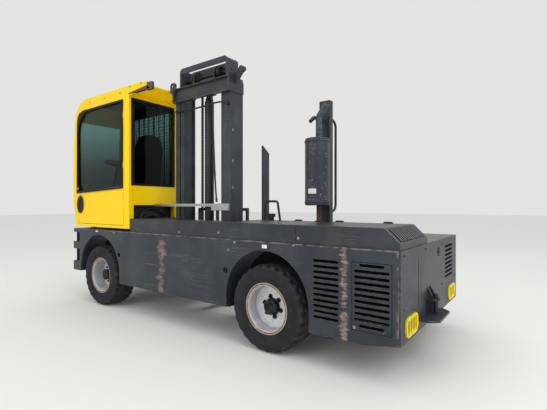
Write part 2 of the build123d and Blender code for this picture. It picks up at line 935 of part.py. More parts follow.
with BuildPart() as cab_glass:
    with BuildSketch(side_plane(screen_y[1])):
        add(cab_outline(cab_back_x, cab_bottom, glass_inset, cab_top - glass_inset))
    extrude(amount=screen_y[1] - screen_y[0])
    with BuildSketch(side_plane(screen_y[1])):
        add(
            cab_outline(
                cab_back_x - 10,
                cab_bottom - 10,
                glass_inset + glass,
                cab_top - glass_inset - glass,
            )
        )
    extrude(amount=screen_y[1] - screen_y[0], mode=Mode.SUBTRACT)
    bar(screen_x, screen_y, screen_z, mode=Mode.INTERSECT)
    bar(
        (cab_back_x + glass_inset, cab_back_x + glass_inset + glass),
        screen_y,
        (rear_sill, window_head),
    )
    with BuildSketch(side_plane(right_y - 2 * glass)):
        add(side_window())
    extrude(amount=glass)
save(cab_glass.part, "cab_glass")

guard_bars = 9
guard_pitch = 130
guard_bar = 16
guard_depth = 12
guard_x = cab_back_x + 152
guard_z = (1500, cab_top - 140)
with BuildPart() as window_guard:
    for step in range(guard_bars):
        x = guard_x + step * guard_pitch
        bar((x, x + guard_bar), (right_y, right_y + guard_depth), guard_z)
    for z in (guard_z[0], guard_z[1] - guard_bar):
        bar(
            (guard_x, guard_x + (guard_bars - 1) * guard_pitch + guard_bar),
            (right_y, right_y + guard_depth),
            (z, z + guard_bar),
        )
save(window_guard.part, "window_guard")

# Seat from the side: how far ahead of its back corner, and how far above the floor
seat_x = cab_back_x + 165
seat_y = cab_inner_y + 370
seat_width = 500
seat_corner = 40
seat_points = (
    (60, 0),
    (470, 0),
    (520, 326),
    (540, 466),
    (200, 436),
    (100, 1306),
    (-20, 1326),
    (0, 386),
)
with BuildPart() as seat:
    with BuildSketch(side_plane(seat_y + seat_width / 2)):
        with BuildLine():
            Polyline([(seat_x + run, floor_top + rise) for run, rise in seat_points], close=True)
        make_face()
        fillet(vertices().group_by(Axis.Y)[-1], seat_corner)
    extrude(amount=seat_width)
save(seat.part, "seat")

wheel_centre = (cab_front_x - 455, seat_y, floor_top + 921)
steering_wheel_radius = 190
steering_grip = 14
steering_spokes = (90, 210, 330)
column_radius = 24
column_length = 560
console_x = (cab_front_x - 380, cab_front_x - 200)
console_height = 466
with BuildPart() as steering_column:
    bar(
        console_x,
        (seat_y - seat_width / 2, seat_y + seat_width / 2),
        (floor_top, floor_top + console_height),
    )
    column = Plane(origin=wheel_centre, z_dir=(-0.35, 0, 1))
    with BuildSketch(column):
        Circle(column_radius)
    extrude(amount=-column_length)
    with BuildSketch(column):
        Circle(steering_wheel_radius + steering_grip)
        Circle(steering_wheel_radius - steering_grip, mode=Mode.SUBTRACT)
        for angle in steering_spokes:
            with Locations(Location((0, 0, 0), (0, 0, angle))):
                Rectangle(steering_wheel_radius, column_radius, align=(Align.MIN, Align.CENTER))
    extrude(amount=2 * steering_grip)
save(steering_column.part, "steering_column")

# Tow coupling, lamps and their guards on the rear wall
tow_y = half_width - 780
tow_plate = 20
tow_width = 510
tow_lower_z = 444
tow_upper_z = 580
tow_corner = 0.45
hitch_y = tow_y - 54
hitch_width = 130
hitch_reach = 100
hitch_pin_radius = 22
hitch_pin_x = frame_back_x - 62
gusset_reach = 60
gusset_height = 110
gusset_offset = 45
gusset = 16
with BuildPart() as tow_coupling:
    for top, y, width, reach in (
        (tow_lower_z, tow_y, tow_width, tow_reach),
        (tow_upper_z, hitch_y, hitch_width, hitch_reach),
    ):
        with BuildSketch(Plane.XY.offset(top - tow_plate)):
            with Locations((frame_back_x - reach / 2, y)):
                Rectangle(reach, width)
            chamfer(vertices().group_by(Axis.X)[0], reach * tow_corner)
        extrude(amount=tow_plate)
    for side in (-1, 1):
        with BuildSketch(side_plane(hitch_y + side * gusset_offset + gusset / 2)):
            with BuildLine():
                Polyline(
                    (frame_back_x, tow_upper_z),
                    (frame_back_x - gusset_reach, tow_upper_z),
                    (frame_back_x, tow_upper_z + gusset_height),
                    close=True,
                )
            make_face()
        extrude(amount=gusset)
        bar(
            (frame_back_x - hitch_reach / 2, frame_back_x),
            (hitch_y + side * gusset_offset - gusset / 2, hitch_y + side * gusset_offset + gusset / 2),
            (tow_lower_z, tow_upper_z - tow_plate),
        )
    rod_z(hitch_pin_x, hitch_y, (tow_lower_z, tow_upper_z + 2 * tow_plate), hitch_pin_radius)
save(tow_coupling.part, "tow_coupling")

lamp_sink = 4
with BuildPart() as rear_lamps:
    for y in lamp_y:
        with BuildSketch(cross_plane(frame_back_x + lamp_sink)):
            with Locations((y, lamp_z)):
                RectangleRounded(
                    lamp_width - 2 * lamp_frame, lamp_height - 2 * lamp_frame, lamp_radius - lamp_frame
                )
        extrude(amount=side_plate - lamp_sink)
save(rear_lamps.part, "rear_lamps")

guard_plate = 14
guard_slots = 4
guard_slot_pitch = 66
guard_slot_width = 50
guard_slot_height = 118
with BuildPart() as lamp_guards:
    for y in lamp_y:
        with BuildSketch(cross_plane(frame_back_x - guard_plate)):
            with Locations((y, lamp_z)):
                RectangleRounded(lamp_width, lamp_height, lamp_radius)
                with GridLocations(guard_slot_pitch, guard_slot_pitch, guard_slots, 1):
                    SlotOverall(guard_slot_height, guard_slot_width, rotation=90, mode=Mode.SUBTRACT)
        extrude(amount=guard_plate)
save(lamp_guards.part, "lamp_guards")

# Axles. The front one carries drive hubs, the rear one the kingpin yokes and the steering cylinder
tower_half = 100
tower_y = 300
tower_depth = 60
beam_half = axle_beam / 2
drive_hub_radius = 160
drive_hub = (wheel_y - 230, wheel_y - 70)
with BuildPart() as front_axle:
    bar(
        (front_axle_x - beam_half, front_axle_x + beam_half),
        (-drive_hub[1], drive_hub[1]),
        (axle_z - beam_half, axle_z + beam_half),
    )
    for side in (-1, 1):
        rod_y(
            front_axle_x, (side * drive_hub[0], side * drive_hub[1]), axle_z, drive_hub_radius
        )
        rod_y(
            front_axle_x,
            (side * drive_hub[1], side * (wheel_y + spindle_reach)),
            axle_z,
            spindle_radius,
        )
        bar(
            (front_axle_x - tower_half, front_axle_x + tower_half),
            (side * tower_y - tower_depth, side * tower_y + tower_depth),
            (axle_z + beam_half, deck_under),
        )
save(front_axle.part, "front_axle")

yoke_top = 105
yoke_gap = 75
yoke_half = 50
yoke_y = (kingpin_y - 110, kingpin_y - 80, kingpin_y + 35)
cylinder_radius = 36
cylinder_half = 250
cylinder_wall = 22
rod_height = 36
bracket_y = 180
bracket_half_y = 15
bracket_half_z = 20
cross_beam_y = 420
cross_beam_z = 950
with BuildPart() as steer_axle:
    bar(
        (rear_axle_x - beam_half, rear_axle_x + beam_half),
        (-yoke_y[1], yoke_y[1]),
        (axle_z - beam_half, axle_z + beam_half),
    )
    for side in (-1, 1):
        bar(
            (rear_axle_x - yoke_half, rear_axle_x + yoke_half),
            (side * yoke_y[0], side * yoke_y[1]),
            (axle_z - yoke_top, axle_z + yoke_top),
        )
        for level in (-1, 1):
            bar(
                (rear_axle_x - yoke_half, rear_axle_x + yoke_half),
                (side * yoke_y[1], side * yoke_y[2]),
                (axle_z + level * yoke_gap, axle_z + level * yoke_top),
            )
        rod_z(
            rear_axle_x,
            side * kingpin_y,
            (axle_z - yoke_top, axle_z + yoke_top),
            kingpin_radius + running_fit,
            mode=Mode.SUBTRACT,
        )
        bar(
            (rear_axle_x - tower_half, rear_axle_x + tower_half),
            (side * tower_y - tower_depth, side * tower_y + tower_depth),
            (axle_z + beam_half, cross_beam_z),
        )
        bar(
            (rear_axle_x + beam_half, rear_axle_x + steer_arm - cylinder_radius + 10),
            (side * bracket_y - bracket_half_y, side * bracket_y + bracket_half_y),
            (axle_z + rod_height - bracket_half_z, axle_z + rod_height + bracket_half_z),
        )
    bar(
        (rear_axle_x - tower_half, rear_axle_x + tower_half),
        (-cross_beam_y, cross_beam_y),
        (cross_beam_z, deck_under),
    )
    rod_y(
        rear_axle_x + steer_arm,
        (-cylinder_half, cylinder_half),
        axle_z + rod_height,
        cylinder_radius,
    )
    rod_y(
        rear_axle_x + steer_arm,
        (-cylinder_half - 1, cylinder_half + 1),
        axle_z + rod_height,
        cylinder_radius - cylinder_wall + 1,
        mode=Mode.SUBTRACT,
    )
save(steer_axle.part, "steer_axle")

knuckle_half = 42
knuckle_y = (kingpin_y - 32, kingpin_y + 40)
arm_half_y = 22
arm_half_z = 20
for side, name in ((1, "left"), (-1, "right")):
    with BuildPart() as knuckle:
        bar(
            (rear_axle_x - knuckle_half, rear_axle_x + knuckle_half),
            (side * knuckle_y[0], side * knuckle_y[1]),
            (axle_z - yoke_gap + 1, axle_z + yoke_gap - 1),
        )
        rod_z(rear_axle_x, side * kingpin_y, (axle_z - yoke_top, axle_z + yoke_top), kingpin_radius)
        rod_y(
            rear_axle_x,
            (side * knuckle_y[1], side * (wheel_y + spindle_reach)),
            axle_z,
            spindle_radius,
        )
        bar(
            (rear_axle_x + knuckle_half, rear_axle_x + steer_arm + arm_half_y),
            (side * (kingpin_y - arm_half_y), side * (kingpin_y + arm_half_y)),
            (axle_z - arm_half_z, axle_z + arm_half_z),
        )
    save(knuckle.part, f"knuckle_{name}")

rod_eye_radius = 24
with BuildPart() as steer_rod:
    rod_y(
        rear_axle_x + steer_arm,
        (20 - kingpin_y, kingpin_y - 20),
        axle_z + rod_height,
        steer_rod_radius,
    )
    for side in (-1, 1):
        rod_z(
            rear_axle_x + steer_arm,
            side * kingpin_y,
            (axle_z + arm_half_z + seat_gap, axle_z + rod_height + steer_rod_radius),
            rod_eye_radius,
        )
save(steer_rod.part, "steer_rod")

# Wheels: the axle, the side they face, and how far out the disc and the hub's inner end lie from the
# wheel's middle. A tyre's shoulders are a lug's depth below its middle band
wheels = (
    ("front_left", front_axle_x, 1, -35, -60),
    ("front_right", front_axle_x, -1, -35, -60),
    ("rear_left", rear_axle_x, 1, 10, -28),
    ("rear_right", rear_axle_x, -1, 10, -28),
)
rim_lip = 10
disc = 14
hub_reach = 70
seat_radius = rim_seat_diameter / 2
flange_radius = rim_flange_diameter / 2
tyre_radius = tyre_diameter / 2
half_tread = tread_width / 2
half_band = tread_band / 2
half_tyre = tyre_width / 2
half_rim = rim_width / 2
tyre_profile = (
    (seat_radius + seat_gap, half_rim),
    (flange_radius, half_rim + seat_gap),
    (flange_radius + 25, half_tyre - 8),
    (flange_radius + 60, half_tyre),
    (tyre_radius - 45, half_tyre - 4),
    (tyre_radius - lug_depth - 6, half_tread),
    (tyre_radius - lug_depth, half_band + 6),
    (tyre_radius, half_band),
)
for name, axle_x, side, disc_out, hub_in in wheels:
    wheel_plane = Plane(
        origin=(axle_x, side * wheel_y, axle_z), x_dir=(0, 0, 1), z_dir=(1, 0, 0)
    )
    wheel_axis = Axis((axle_x, side * wheel_y, axle_z), (0, 1, 0))
    with BuildPart() as tyre:
        with BuildSketch(wheel_plane):
            with BuildLine():
                Polyline(
                    *tyre_profile,
                    *((radius, -across) for radius, across in reversed(tyre_profile)),
                    close=True,
                )
            make_face()
        revolve(axis=wheel_axis)
    save(tyre.part, f"tyre_{name}")
    with BuildPart() as rim:
        with BuildSketch(wheel_plane):
            with Locations((seat_radius - rim_wall / 2, 0)):
                Rectangle(rim_wall, rim_width + 2 * rim_lip)
            for edge in (-1, 1):
                with Locations(
                    ((seat_radius + flange_radius) / 2, edge * (half_rim + (rim_lip + seat_gap) / 2))
                ):
                    Rectangle(flange_radius - seat_radius, rim_lip - seat_gap)
        revolve(axis=wheel_axis)
        disc_y = side * (wheel_y + disc_out)
        rod_y(axle_x, (disc_y, disc_y + side * disc), axle_z, seat_radius - rim_wall / 2)
        hub_start = side * (wheel_y + hub_in)
        rod_y(axle_x, (hub_start, side * (wheel_y + hub_reach)), axle_z, hub_radius)
        rod_y(
            axle_x,
            (hub_start, side * (wheel_y + spindle_reach + seat_gap)),
            axle_z,
            spindle_radius + running_fit,
            mode=Mode.SUBTRACT,
        )
    save(rim.part, f"rim_{name}")

# Reach frame: cheeks on rollers in the well's rails, a beam between them and two tilt barrels
roller_ys = (mast_near_y - 340, mast_near_y - 60)
roller_width = 42
roller_gap_x = 4
roller_axle_radius = 18
roller_radius = rail_opening / 2 - running_fit
cheek_back_y = mast_near_y - 400
cheek_z = (400, 690)
lug_top = 800
lug_depth_y = 72
reach_beam_z = (420, 600)
pivot_lobe = 65
tilt_pin_y = mast_near_y - 150
tilt_pin_z = 750
tilt_pin_radius = 15
tilt_barrel_radius = 30
tilt_barrel_y = (mast_near_y - 65, mast_near_y + 45)
tilt_rod_radius = 12
reach_beam_end = reach_beam_y + reach_beam_depth
cheek_in = outer_half + cheek_gap
cheek_out = cheek_in + cheek_plate
tilt_offset = cheek_out + 14
roller_out = well_width / 2 - rail_web - roller_gap_x
with BuildPart() as reach_frame:
    for side in (-1, 1):
        with BuildSketch(cross_plane(min(mast_x + side * cheek_in, mast_x + side * cheek_out))):
            with Locations(((cheek_back_y + reach_beam_end) / 2, (cheek_z[0] + cheek_z[1]) / 2)):
                Rectangle(reach_beam_end - cheek_back_y, cheek_z[1] - cheek_z[0])
            with Locations((reach_beam_end - lug_depth_y / 2, (cheek_z[0] + lug_top) / 2)):
                Rectangle(lug_depth_y, lug_top - cheek_z[0])
            with Locations((pivot_y, (pivot_z + cheek_z[0]) / 2)):
                Rectangle(2 * pivot_lobe, cheek_z[0] - pivot_z)
            with Locations((pivot_y, pivot_z)):
                Circle(pivot_lobe)
                Circle(pivot_radius + running_fit, mode=Mode.SUBTRACT)
        extrude(amount=cheek_plate)
        for y in roller_ys:
            rod_x(
                (mast_x + side * cheek_out, mast_x + side * roller_out),
                y,
                rail_z,
                roller_axle_radius,
            )
            rod_x(
                (mast_x + side * (roller_out - roller_width), mast_x + side * roller_out),
                y,
                rail_z,
                roller_radius,
            )
        bar(
            (mast_x + side * cheek_in, mast_x + side * (tilt_offset + tilt_barrel_radius)),
            (tilt_barrel_y[1], reach_beam_end),
            (cheek_z[1] + 10, lug_top),
        )
        rod_y(mast_x + side * tilt_offset, tilt_barrel_y, tilt_pin_z, tilt_barrel_radius)
        rod_y(
            mast_x + side * tilt_offset,
            (tilt_barrel_y[0] - 1, tilt_barrel_y[1]),
            tilt_pin_z,
            tilt_rod_radius + 1,
            mode=Mode.SUBTRACT,
        )
    bar((mast_x - cheek_in, mast_x + cheek_in), (reach_beam_y, reach_beam_end), reach_beam_z)
save(reach_frame.part, "reach_frame")

tilt_eye_radius = 32
tilt_eye_play = 7
tilt_eye_half = 13
with BuildPart() as tilt_rods:
    for side in (-1, 1):
        x = mast_x + side * tilt_offset
        rod_y(x, (tilt_pin_y + tilt_eye_radius - 4, tilt_pin_y + 155), tilt_pin_z, tilt_rod_radius)
        rod_x((x - tilt_eye_half, x + tilt_eye_half), tilt_pin_y, tilt_pin_z, tilt_eye_radius)
        rod_x(
            (x - tilt_eye_half - 1, x + tilt_eye_half + 1),
            tilt_pin_y,
            tilt_pin_z,
            tilt_pin_radius + tilt_eye_play,
            mode=Mode.SUBTRACT,
        )
save(tilt_rods.part, "tilt_rods")

# Outer mast: two channels tied by a channel beam at the top and plates at the foot
top_beam_z = (outer_top - 185, outer_top)
top_beam_depth = 50
top_beam_sheet = 12
end_plate = 12
end_plate_top = outer_top + 100
end_hole_radius = 24
foot_plate = 20
foot_height = 165
foot_tie = 25
anchor_z = (outer_top - 180, outer_top - 140)
anchor_half = 25
anchor_depth = 50
inner_edge = outer_half - upright_width
lug_width = 110
lug_height = 140
lug_hole_radius = 20
arm_y = (mast_near_y - 90, mast_near_y - 45)
pulley_radius = 32
with BuildPart() as outer_mast:
    for side in (-1, 1):
        with BuildSketch(Plane.XY.offset(mast_foot_z)):
            with Locations((mast_x + side * (outer_half - upright_width / 2), pivot_y)):
                Rectangle(upright_width, mast_depth)
            with Locations((mast_x + side * (outer_half - (upright_width + upright_web) / 2), pivot_y)):
                Rectangle(
                    upright_width - upright_web, mast_depth - 2 * upright_web, mode=Mode.SUBTRACT
                )
        extrude(amount=outer_top - mast_foot_z)
        bar(
            (mast_x + side * chain_offset - anchor_half, mast_x + side * chain_offset + anchor_half),
            (mast_near_y - anchor_depth, mast_near_y),
            anchor_z,
        )
    bar(
        (mast_x - outer_half, mast_x + outer_half),
        (mast_near_y, mast_near_y + top_beam_depth),
        top_beam_z,
    )
    bar(
        (mast_x - outer_half + top_beam_sheet, mast_x + outer_half - top_beam_sheet),
        (mast_near_y + top_beam_sheet, mast_near_y + top_beam_depth),
        (top_beam_z[0] + top_beam_sheet, top_beam_z[1] - top_beam_sheet),
        mode=Mode.SUBTRACT,
    )
    bar(
        (mast_x - outer_half, mast_x + outer_half),
        (mast_near_y, mast_near_y + foot_tie),
        (mast_foot_z - foot_plate, mast_foot_z + foot_height),
    )
    bar(
        (mast_x - outer_half, mast_x + outer_half),
        (mast_far_y, mast_near_y),
        (mast_foot_z - foot_plate, mast_foot_z),
    )
    with BuildSketch(cross_plane(mast_x - outer_half - end_plate)):
        with BuildLine():
            Polyline(
                (mast_far_y, top_beam_z[0]),
                (mast_near_y + top_beam_depth, top_beam_z[0]),
                (mast_near_y + top_beam_depth, end_plate_top),
                (mast_near_y - top_beam_depth, end_plate_top),
                (mast_far_y, top_beam_z[1] - top_beam_depth),
                close=True,
            )
        make_face()
        with Locations((mast_near_y, end_plate_top - top_beam_depth)):
            Circle(end_hole_radius, mode=Mode.SUBTRACT)
    extrude(amount=end_plate)
    bar(
        (mast_x + outer_half, mast_x + outer_half + end_plate),
        (mast_far_y, mast_near_y + top_beam_depth),
        top_beam_z,
    )
    with BuildSketch(side_plane(mast_near_y + 40)):
        with Locations((mast_x + outer_half + 15, outer_top + 20)):
            RectangleRounded(lug_width, lug_height, lug_hole_radius * 2)
        with Locations((mast_x + outer_half + 35, outer_top + 50)):
            Circle(lug_hole_radius, mode=Mode.SUBTRACT)
    extrude(amount=20)
    with BuildSketch(side_plane(arm_y[1])):
        with BuildLine():
            Polyline(
                (mast_x - outer_half, outer_top - 110),
                (mast_x - outer_half, outer_top),
                (mast_x - outer_half - 100, outer_top + 105),
                (mast_x - outer_half - 145, outer_top + 55),
                close=True,
            )
        make_face()
    extrude(amount=arm_y[1] - arm_y[0])
    rod_y(
        mast_x - outer_half - 125, (arm_y[0] - 10, arm_y[1] + 10), outer_top + 75, pulley_radius
    )
save(outer_mast.part, "outer_mast")

with BuildPart() as mast_pins:
    for side in (-1, 1):
        rod_x(
            (mast_x + side * outer_half, mast_x + side * (cheek_out + 4)),
            pivot_y,
            pivot_z,
            pivot_radius,
        )
        rod_x(
            (mast_x + side * outer_half, mast_x + side * (tilt_offset + tilt_eye_half + 9)),
            tilt_pin_y,
            tilt_pin_z,
            tilt_pin_radius,
        )
save(mast_pins.part, "mast_pins")

cylinder_head = (outer_top - 210, outer_top - 170)
cylinder_bottom = 45
with BuildPart() as lift_cylinder:
    rod_z(mast_x, lift_cylinder_y, (mast_foot_z, cylinder_head[0]), lift_cylinder_radius)
    rod_z(mast_x, lift_cylinder_y, cylinder_head, lift_cylinder_radius - 10)
    rod_z(
        mast_x,
        lift_cylinder_y,
        (mast_foot_z + cylinder_bottom, cylinder_head[1]),
        lift_rod_radius + 1.5,
        mode=Mode.SUBTRACT,
    )
save(lift_cylinder.part, "lift_cylinder")

rail_bar_z = (1437, 1472)
rail_bar_depth = 35
rail_shoe_bottom = 1390
rail_shoe_depth = 45
with BuildPart() as guide_rail:
    bar(
        (mast_x - outer_half + 8, cab_back_x - 44),
        (mast_near_y, mast_near_y + rail_bar_depth),
        rail_bar_z,
    )
    bar(
        (mast_x - outer_half + 8, mast_x - 215),
        (mast_near_y, mast_near_y + rail_shoe_depth),
        (rail_shoe_bottom, rail_bar_z[0]),
    )
save(guide_rail.part, "guide_rail")

# Hoses clamped across the mast's near face: points along each, as offsets from the mast's middle and
# heights, with the bend between its straight runs
hose_radius = 11
hose_y = mast_near_y + 15
clamp_half = 20
hose_routes = (
    (((475, 2705), (300, 2640), (60, 2695), (-160, 2625), (-330, 2680), (-460, 2650)), 160),
    (((-170, 2813), (-195, 2570), (-350, 1560), (-350, 1472)), 120),
    (((-365, 1390), (-365, 960), (-450, 800)), 120),
)
hose_clamps = ((475, 2705), (-460, 2650), (-450, 800))
with BuildPart() as mast_hoses:
    for points, bend in hose_routes:
        route = [Vector(mast_x + offset, hose_y, height) for offset, height in points]
        with BuildLine():
            FilletPolyline(*route, radius=bend)
        with BuildSketch(Plane(origin=route[0], z_dir=route[1] - route[0])):
            Circle(hose_radius)
        sweep()
    for offset, height in hose_clamps:
        bar(
            (mast_x + offset - clamp_half, mast_x + offset + clamp_half),
            (mast_near_y, hose_y + hose_radius),
            (height - clamp_half, height + clamp_half),
        )
save(mast_hoses.part, "mast_hoses")

# Inner mast: two I-sections, a crosshead with the chain sheaves, and rollers at the foot
inner_roller_z = 365
inner_roller_radius = mast_depth / 2 - upright_web - roller_gap
roller_axle = 25
web_out = inner_half - (inner_width - inner_web) / 2
inner_tie_height = 185
crosshead_beam = 70
crosshead_back = 10
crosshead_shelf = 22
crosshead_corner = 38
rod_plate_z = (inner_top - 210, inner_top - 185)
rod_plate_half = 140
rod_collar = 20
with BuildPart() as inner_mast:
    for side in (-1, 1):
        bar(
            (mast_x + side * (web_out - inner_web), mast_x + side * web_out),
            (inner_far_y, inner_near_y),
            (inner_foot_z, crosshead_z),
        )
        for y in (inner_far_y, inner_near_y - inner_flange):
            bar(
                (mast_x + side * (inner_half - inner_width), mast_x + side * inner_half),
                (y, y + inner_flange),
                (inner_foot_z, crosshead_z),
            )
        rod_x(
            (mast_x + side * web_out, mast_x + side * (inner_edge + 10)),
            pivot_y,
            inner_roller_z,
            roller_axle,
        )
        rod_x(
            (mast_x + side * (inner_edge + 7), mast_x + side * (outer_half - upright_web - 8)),
            pivot_y,
            inner_roller_z,
            inner_roller_radius,
        )
        bar(
            (mast_x + side * (crosshead_half - crosshead_plate), mast_x + side * crosshead_half),
            (inner_far_y, inner_near_y),
            (crosshead_z, inner_top),
        )
        bar(
            (mast_x + side * 290, mast_x + side * crosshead_half),
            (inner_far_y, inner_near_y),
            (crosshead_z, crosshead_z + crosshead_shelf),
        )
    bar(
        (mast_x - inner_half, mast_x + inner_half),
        (inner_near_y - inner_flange, inner_near_y),
        (inner_foot_z, inner_foot_z + inner_tie_height),
    )
    bar(
        (mast_x - crosshead_half, mast_x + crosshead_half),
        (inner_near_y - inner_flange, inner_near_y),
        (inner_top - crosshead_beam, inner_top),
    )
    bar(
        (mast_x - crosshead_half, mast_x + crosshead_half),
        (inner_far_y, inner_far_y + crosshead_back),
        (crosshead_z, inner_top),
    )
    for side in (-1, 1):
        with BuildSketch(side_plane(inner_near_y)):
            with BuildLine():
                Polyline(
                    (mast_x + side * crosshead_half, inner_top),
                    (mast_x + side * (crosshead_half - crosshead_corner), inner_top),
                    (mast_x + side * crosshead_half, inner_top - crosshead_corner),
                    close=True,
                )
            make_face()
        extrude(amount=mast_depth, mode=Mode.SUBTRACT)
    bar(
        (mast_x - rod_plate_half, mast_x + rod_plate_half),
        (inner_far_y + crosshead_back, lift_cylinder_y + lift_rod_radius),
        rod_plate_z,
    )
    rod_z(
        mast_x,
        lift_cylinder_y,
        (rod_plate_z[0] - 2 * rod_collar, rod_plate_z[0]),
        lift_rod_radius + rod_collar,
    )
    rod_z(
        mast_x,
        lift_cylinder_y,
        (rod_plate_z[0] - 2 * rod_collar, rod_plate_z[0]),
        lift_rod_radius + running_fit,
        mode=Mode.SUBTRACT,
    )
save(inner_mast.part, "inner_mast")

sheave_axle_radius = 18
sheave_half = 22
hose_pulley = (36, 62)
sheave_y = chain_y + sheave_radius
chain_half = chain_thickness / 2
chain_side = chain_width / 2
with BuildPart() as sheaves:
    rod_x(
        (mast_x - crosshead_half + crosshead_plate, mast_x + crosshead_half - crosshead_plate),
        sheave_y,
        sheave_z,
        sheave_axle_radius,
    )
    for side in (-1, 1):
        x = mast_x + side * chain_offset
        rod_x((x - sheave_half, x + sheave_half), sheave_y, sheave_z, sheave_radius - chain_half)
        rod_x(
            (x + side * hose_pulley[0], x + side * hose_pulley[1]), sheave_y, sheave_z, sheave_radius
        )
        with BuildSketch(cross_plane(x - chain_side)):
            with Locations((sheave_y, sheave_z)):
                Circle(sheave_radius + chain_half)
                Rectangle(
                    4 * sheave_radius,
                    2 * sheave_radius,
                    align=(Align.CENTER, Align.MAX),
                    mode=Mode.SUBTRACT,
                )
        extrude(amount=chain_width)
save(sheaves.part, "chain_sheaves")

lift_rod_bottom = 1000
with BuildPart() as lift_rod:
    rod_z(mast_x, lift_cylinder_y, (lift_rod_bottom, rod_plate_z[0]), lift_rod_radius)
save(lift_rod.part, "lift_rod")

# The chains' two runs: between the carriage and the sheaves, and between the sheaves and the anchors
carriage_chain_z = 700
chain_runs = (
    ("chain_carriage_strands", chain_y, carriage_chain_z),
    ("chain_anchor_strands", chain_y + 2 * sheave_radius, anchor_z[1]),
)
for name, run_y, bottom in chain_runs:
    with BuildPart() as chain_run:
        for side in (-1, 1):
            x = mast_x + side * chain_offset
            bar(
                (x - chain_side, x + chain_side),
                (run_y - chain_half, run_y + chain_half),
                (bottom, sheave_z),
            )
    save(chain_run.part, name)

# Fork carriage with its load backrest, and the two forks
carriage_roller_radius = (inner_near_y - inner_far_y) / 2 - inner_flange - roller_gap
carriage_roller_heights = (360, 690)
carriage_bars = ((200, 300), (640, 740))
carriage_side = (306, 328)
carriage_side_end_y = pivot_y + 50
carriage_side_z = (mast_foot_z + 25, 800)
backrest_top = 1417
backrest_beam = 40
backrest_bar = 25
backrest_offsets = (13 - carriage_half, -270, -90, 90, 270, carriage_half - 13)
carriage_back = carriage_y + carriage_plate
with BuildPart() as fork_carriage:
    for z in carriage_bars:
        bar((mast_x - carriage_half, mast_x + carriage_half), (carriage_y, carriage_back), z)
    bar(
        (mast_x - carriage_half, mast_x + carriage_half),
        (carriage_y, carriage_back),
        (backrest_top - backrest_beam, backrest_top),
    )
    for offset in backrest_offsets:
        bar(
            (mast_x + offset - backrest_bar / 2, mast_x + offset + backrest_bar / 2),
            (carriage_y, carriage_back),
            (carriage_bars[1][1], backrest_top - backrest_beam),
        )
    for side in (-1, 1):
        bar(
            (mast_x + side * carriage_side[0], mast_x + side * carriage_side[1]),
            (carriage_back, carriage_side_end_y),
            carriage_side_z,
        )
        for z in carriage_roller_heights:
            rod_x(
                (mast_x + side * carriage_side[1], mast_x + side * (carriage_side[1] + 10)),
                pivot_y,
                z,
                roller_axle,
            )
            rod_x(
                (mast_x + side * (carriage_side[1] + 8), mast_x + side * (web_out - inner_web - 3)),
                pivot_y,
                z,
                carriage_roller_radius,
            )
        bar(
            (mast_x + side * chain_offset - 20, mast_x + side * chain_offset + 20),
            (carriage_back, chain_y + 15),
            (carriage_bars[1][0], carriage_chain_z),
        )
save(fork_carriage.part, "fork_carriage")

fork_tip_thickness = 15
fork_taper = 550
fork_corner = 50
shank_front_y = carriage_y - fork_shank
with BuildPart() as forks:
    for side in (-1, 1):
        with BuildSketch(cross_plane(mast_x + side * fork_spacing - fork_width / 2)):
            with BuildLine():
                Polyline(
                    (carriage_y, fork_bottom),
                    (shank_front_y - fork_length, fork_bottom),
                    (shank_front_y - fork_length, fork_bottom + fork_tip_thickness),
                    (shank_front_y - fork_length + fork_taper, fork_bottom + fork_thickness),
                    (shank_front_y, fork_bottom + fork_thickness),
                    (shank_front_y, fork_top),
                    (carriage_y, fork_top),
                    close=True,
                )
            make_face()
        extrude(amount=fork_width)
    fillet(forks.edges().filter_by(Axis.Z).group_by(Axis.Y)[0], fork_corner)
save(forks.part, "forks")
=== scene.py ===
# %% [markdown]
# # Side loader forklift
# This truck carries long loads along its left side and on its decks, and picks them up with a mast that
# reaches out of a well across the frame. The CAD model comes in as a fixed frame. This lesson gives every
# surface the finish of a machine that works outdoors, and adds the bolts, seals, hoses and soft parts.

import math
import random

import bmesh
import bpy
from mathutils import Matrix, Vector


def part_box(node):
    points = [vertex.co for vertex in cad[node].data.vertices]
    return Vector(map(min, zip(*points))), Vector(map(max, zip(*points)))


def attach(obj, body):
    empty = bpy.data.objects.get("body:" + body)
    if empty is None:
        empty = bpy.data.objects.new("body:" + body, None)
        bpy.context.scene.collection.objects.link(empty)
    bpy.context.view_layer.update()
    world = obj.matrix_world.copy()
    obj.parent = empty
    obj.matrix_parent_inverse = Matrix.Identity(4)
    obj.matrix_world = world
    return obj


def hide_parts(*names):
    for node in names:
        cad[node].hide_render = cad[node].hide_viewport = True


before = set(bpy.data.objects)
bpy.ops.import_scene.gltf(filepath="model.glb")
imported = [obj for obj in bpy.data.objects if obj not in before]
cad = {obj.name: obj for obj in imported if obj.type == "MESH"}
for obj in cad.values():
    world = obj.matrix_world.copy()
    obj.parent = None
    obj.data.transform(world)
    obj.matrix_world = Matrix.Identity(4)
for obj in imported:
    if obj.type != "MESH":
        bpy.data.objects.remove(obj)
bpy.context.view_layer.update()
random.seed(7)

# %% [markdown]
# ## Sizes taken from the frame
# Everything added later is placed from the CAD pieces, so these few lines are the only link between the
# two. A wheel's centre, for example, is the middle of its tyre's box.


# %% Places on the truck
def middle(name):
    """The centre of a CAD node's box, in metres."""
    low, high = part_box(name)
    return (low + high) / 2


CORNERS = ("front_left", "front_right", "rear_left", "rear_right")
wheel_centre = {f"wheel_{corner}": middle(f"tyre_{corner}") for corner in CORNERS}
rear_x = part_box("end_walls")[0].x
side_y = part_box("side_frame_left")[1].y
deck_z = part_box("decks")[1].z
hood_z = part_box("hood_cover_front")[1].z
print("rear axle at", round(wheel_centre["wheel_rear_left"].x, 3), "deck at", round(deck_z, 3))

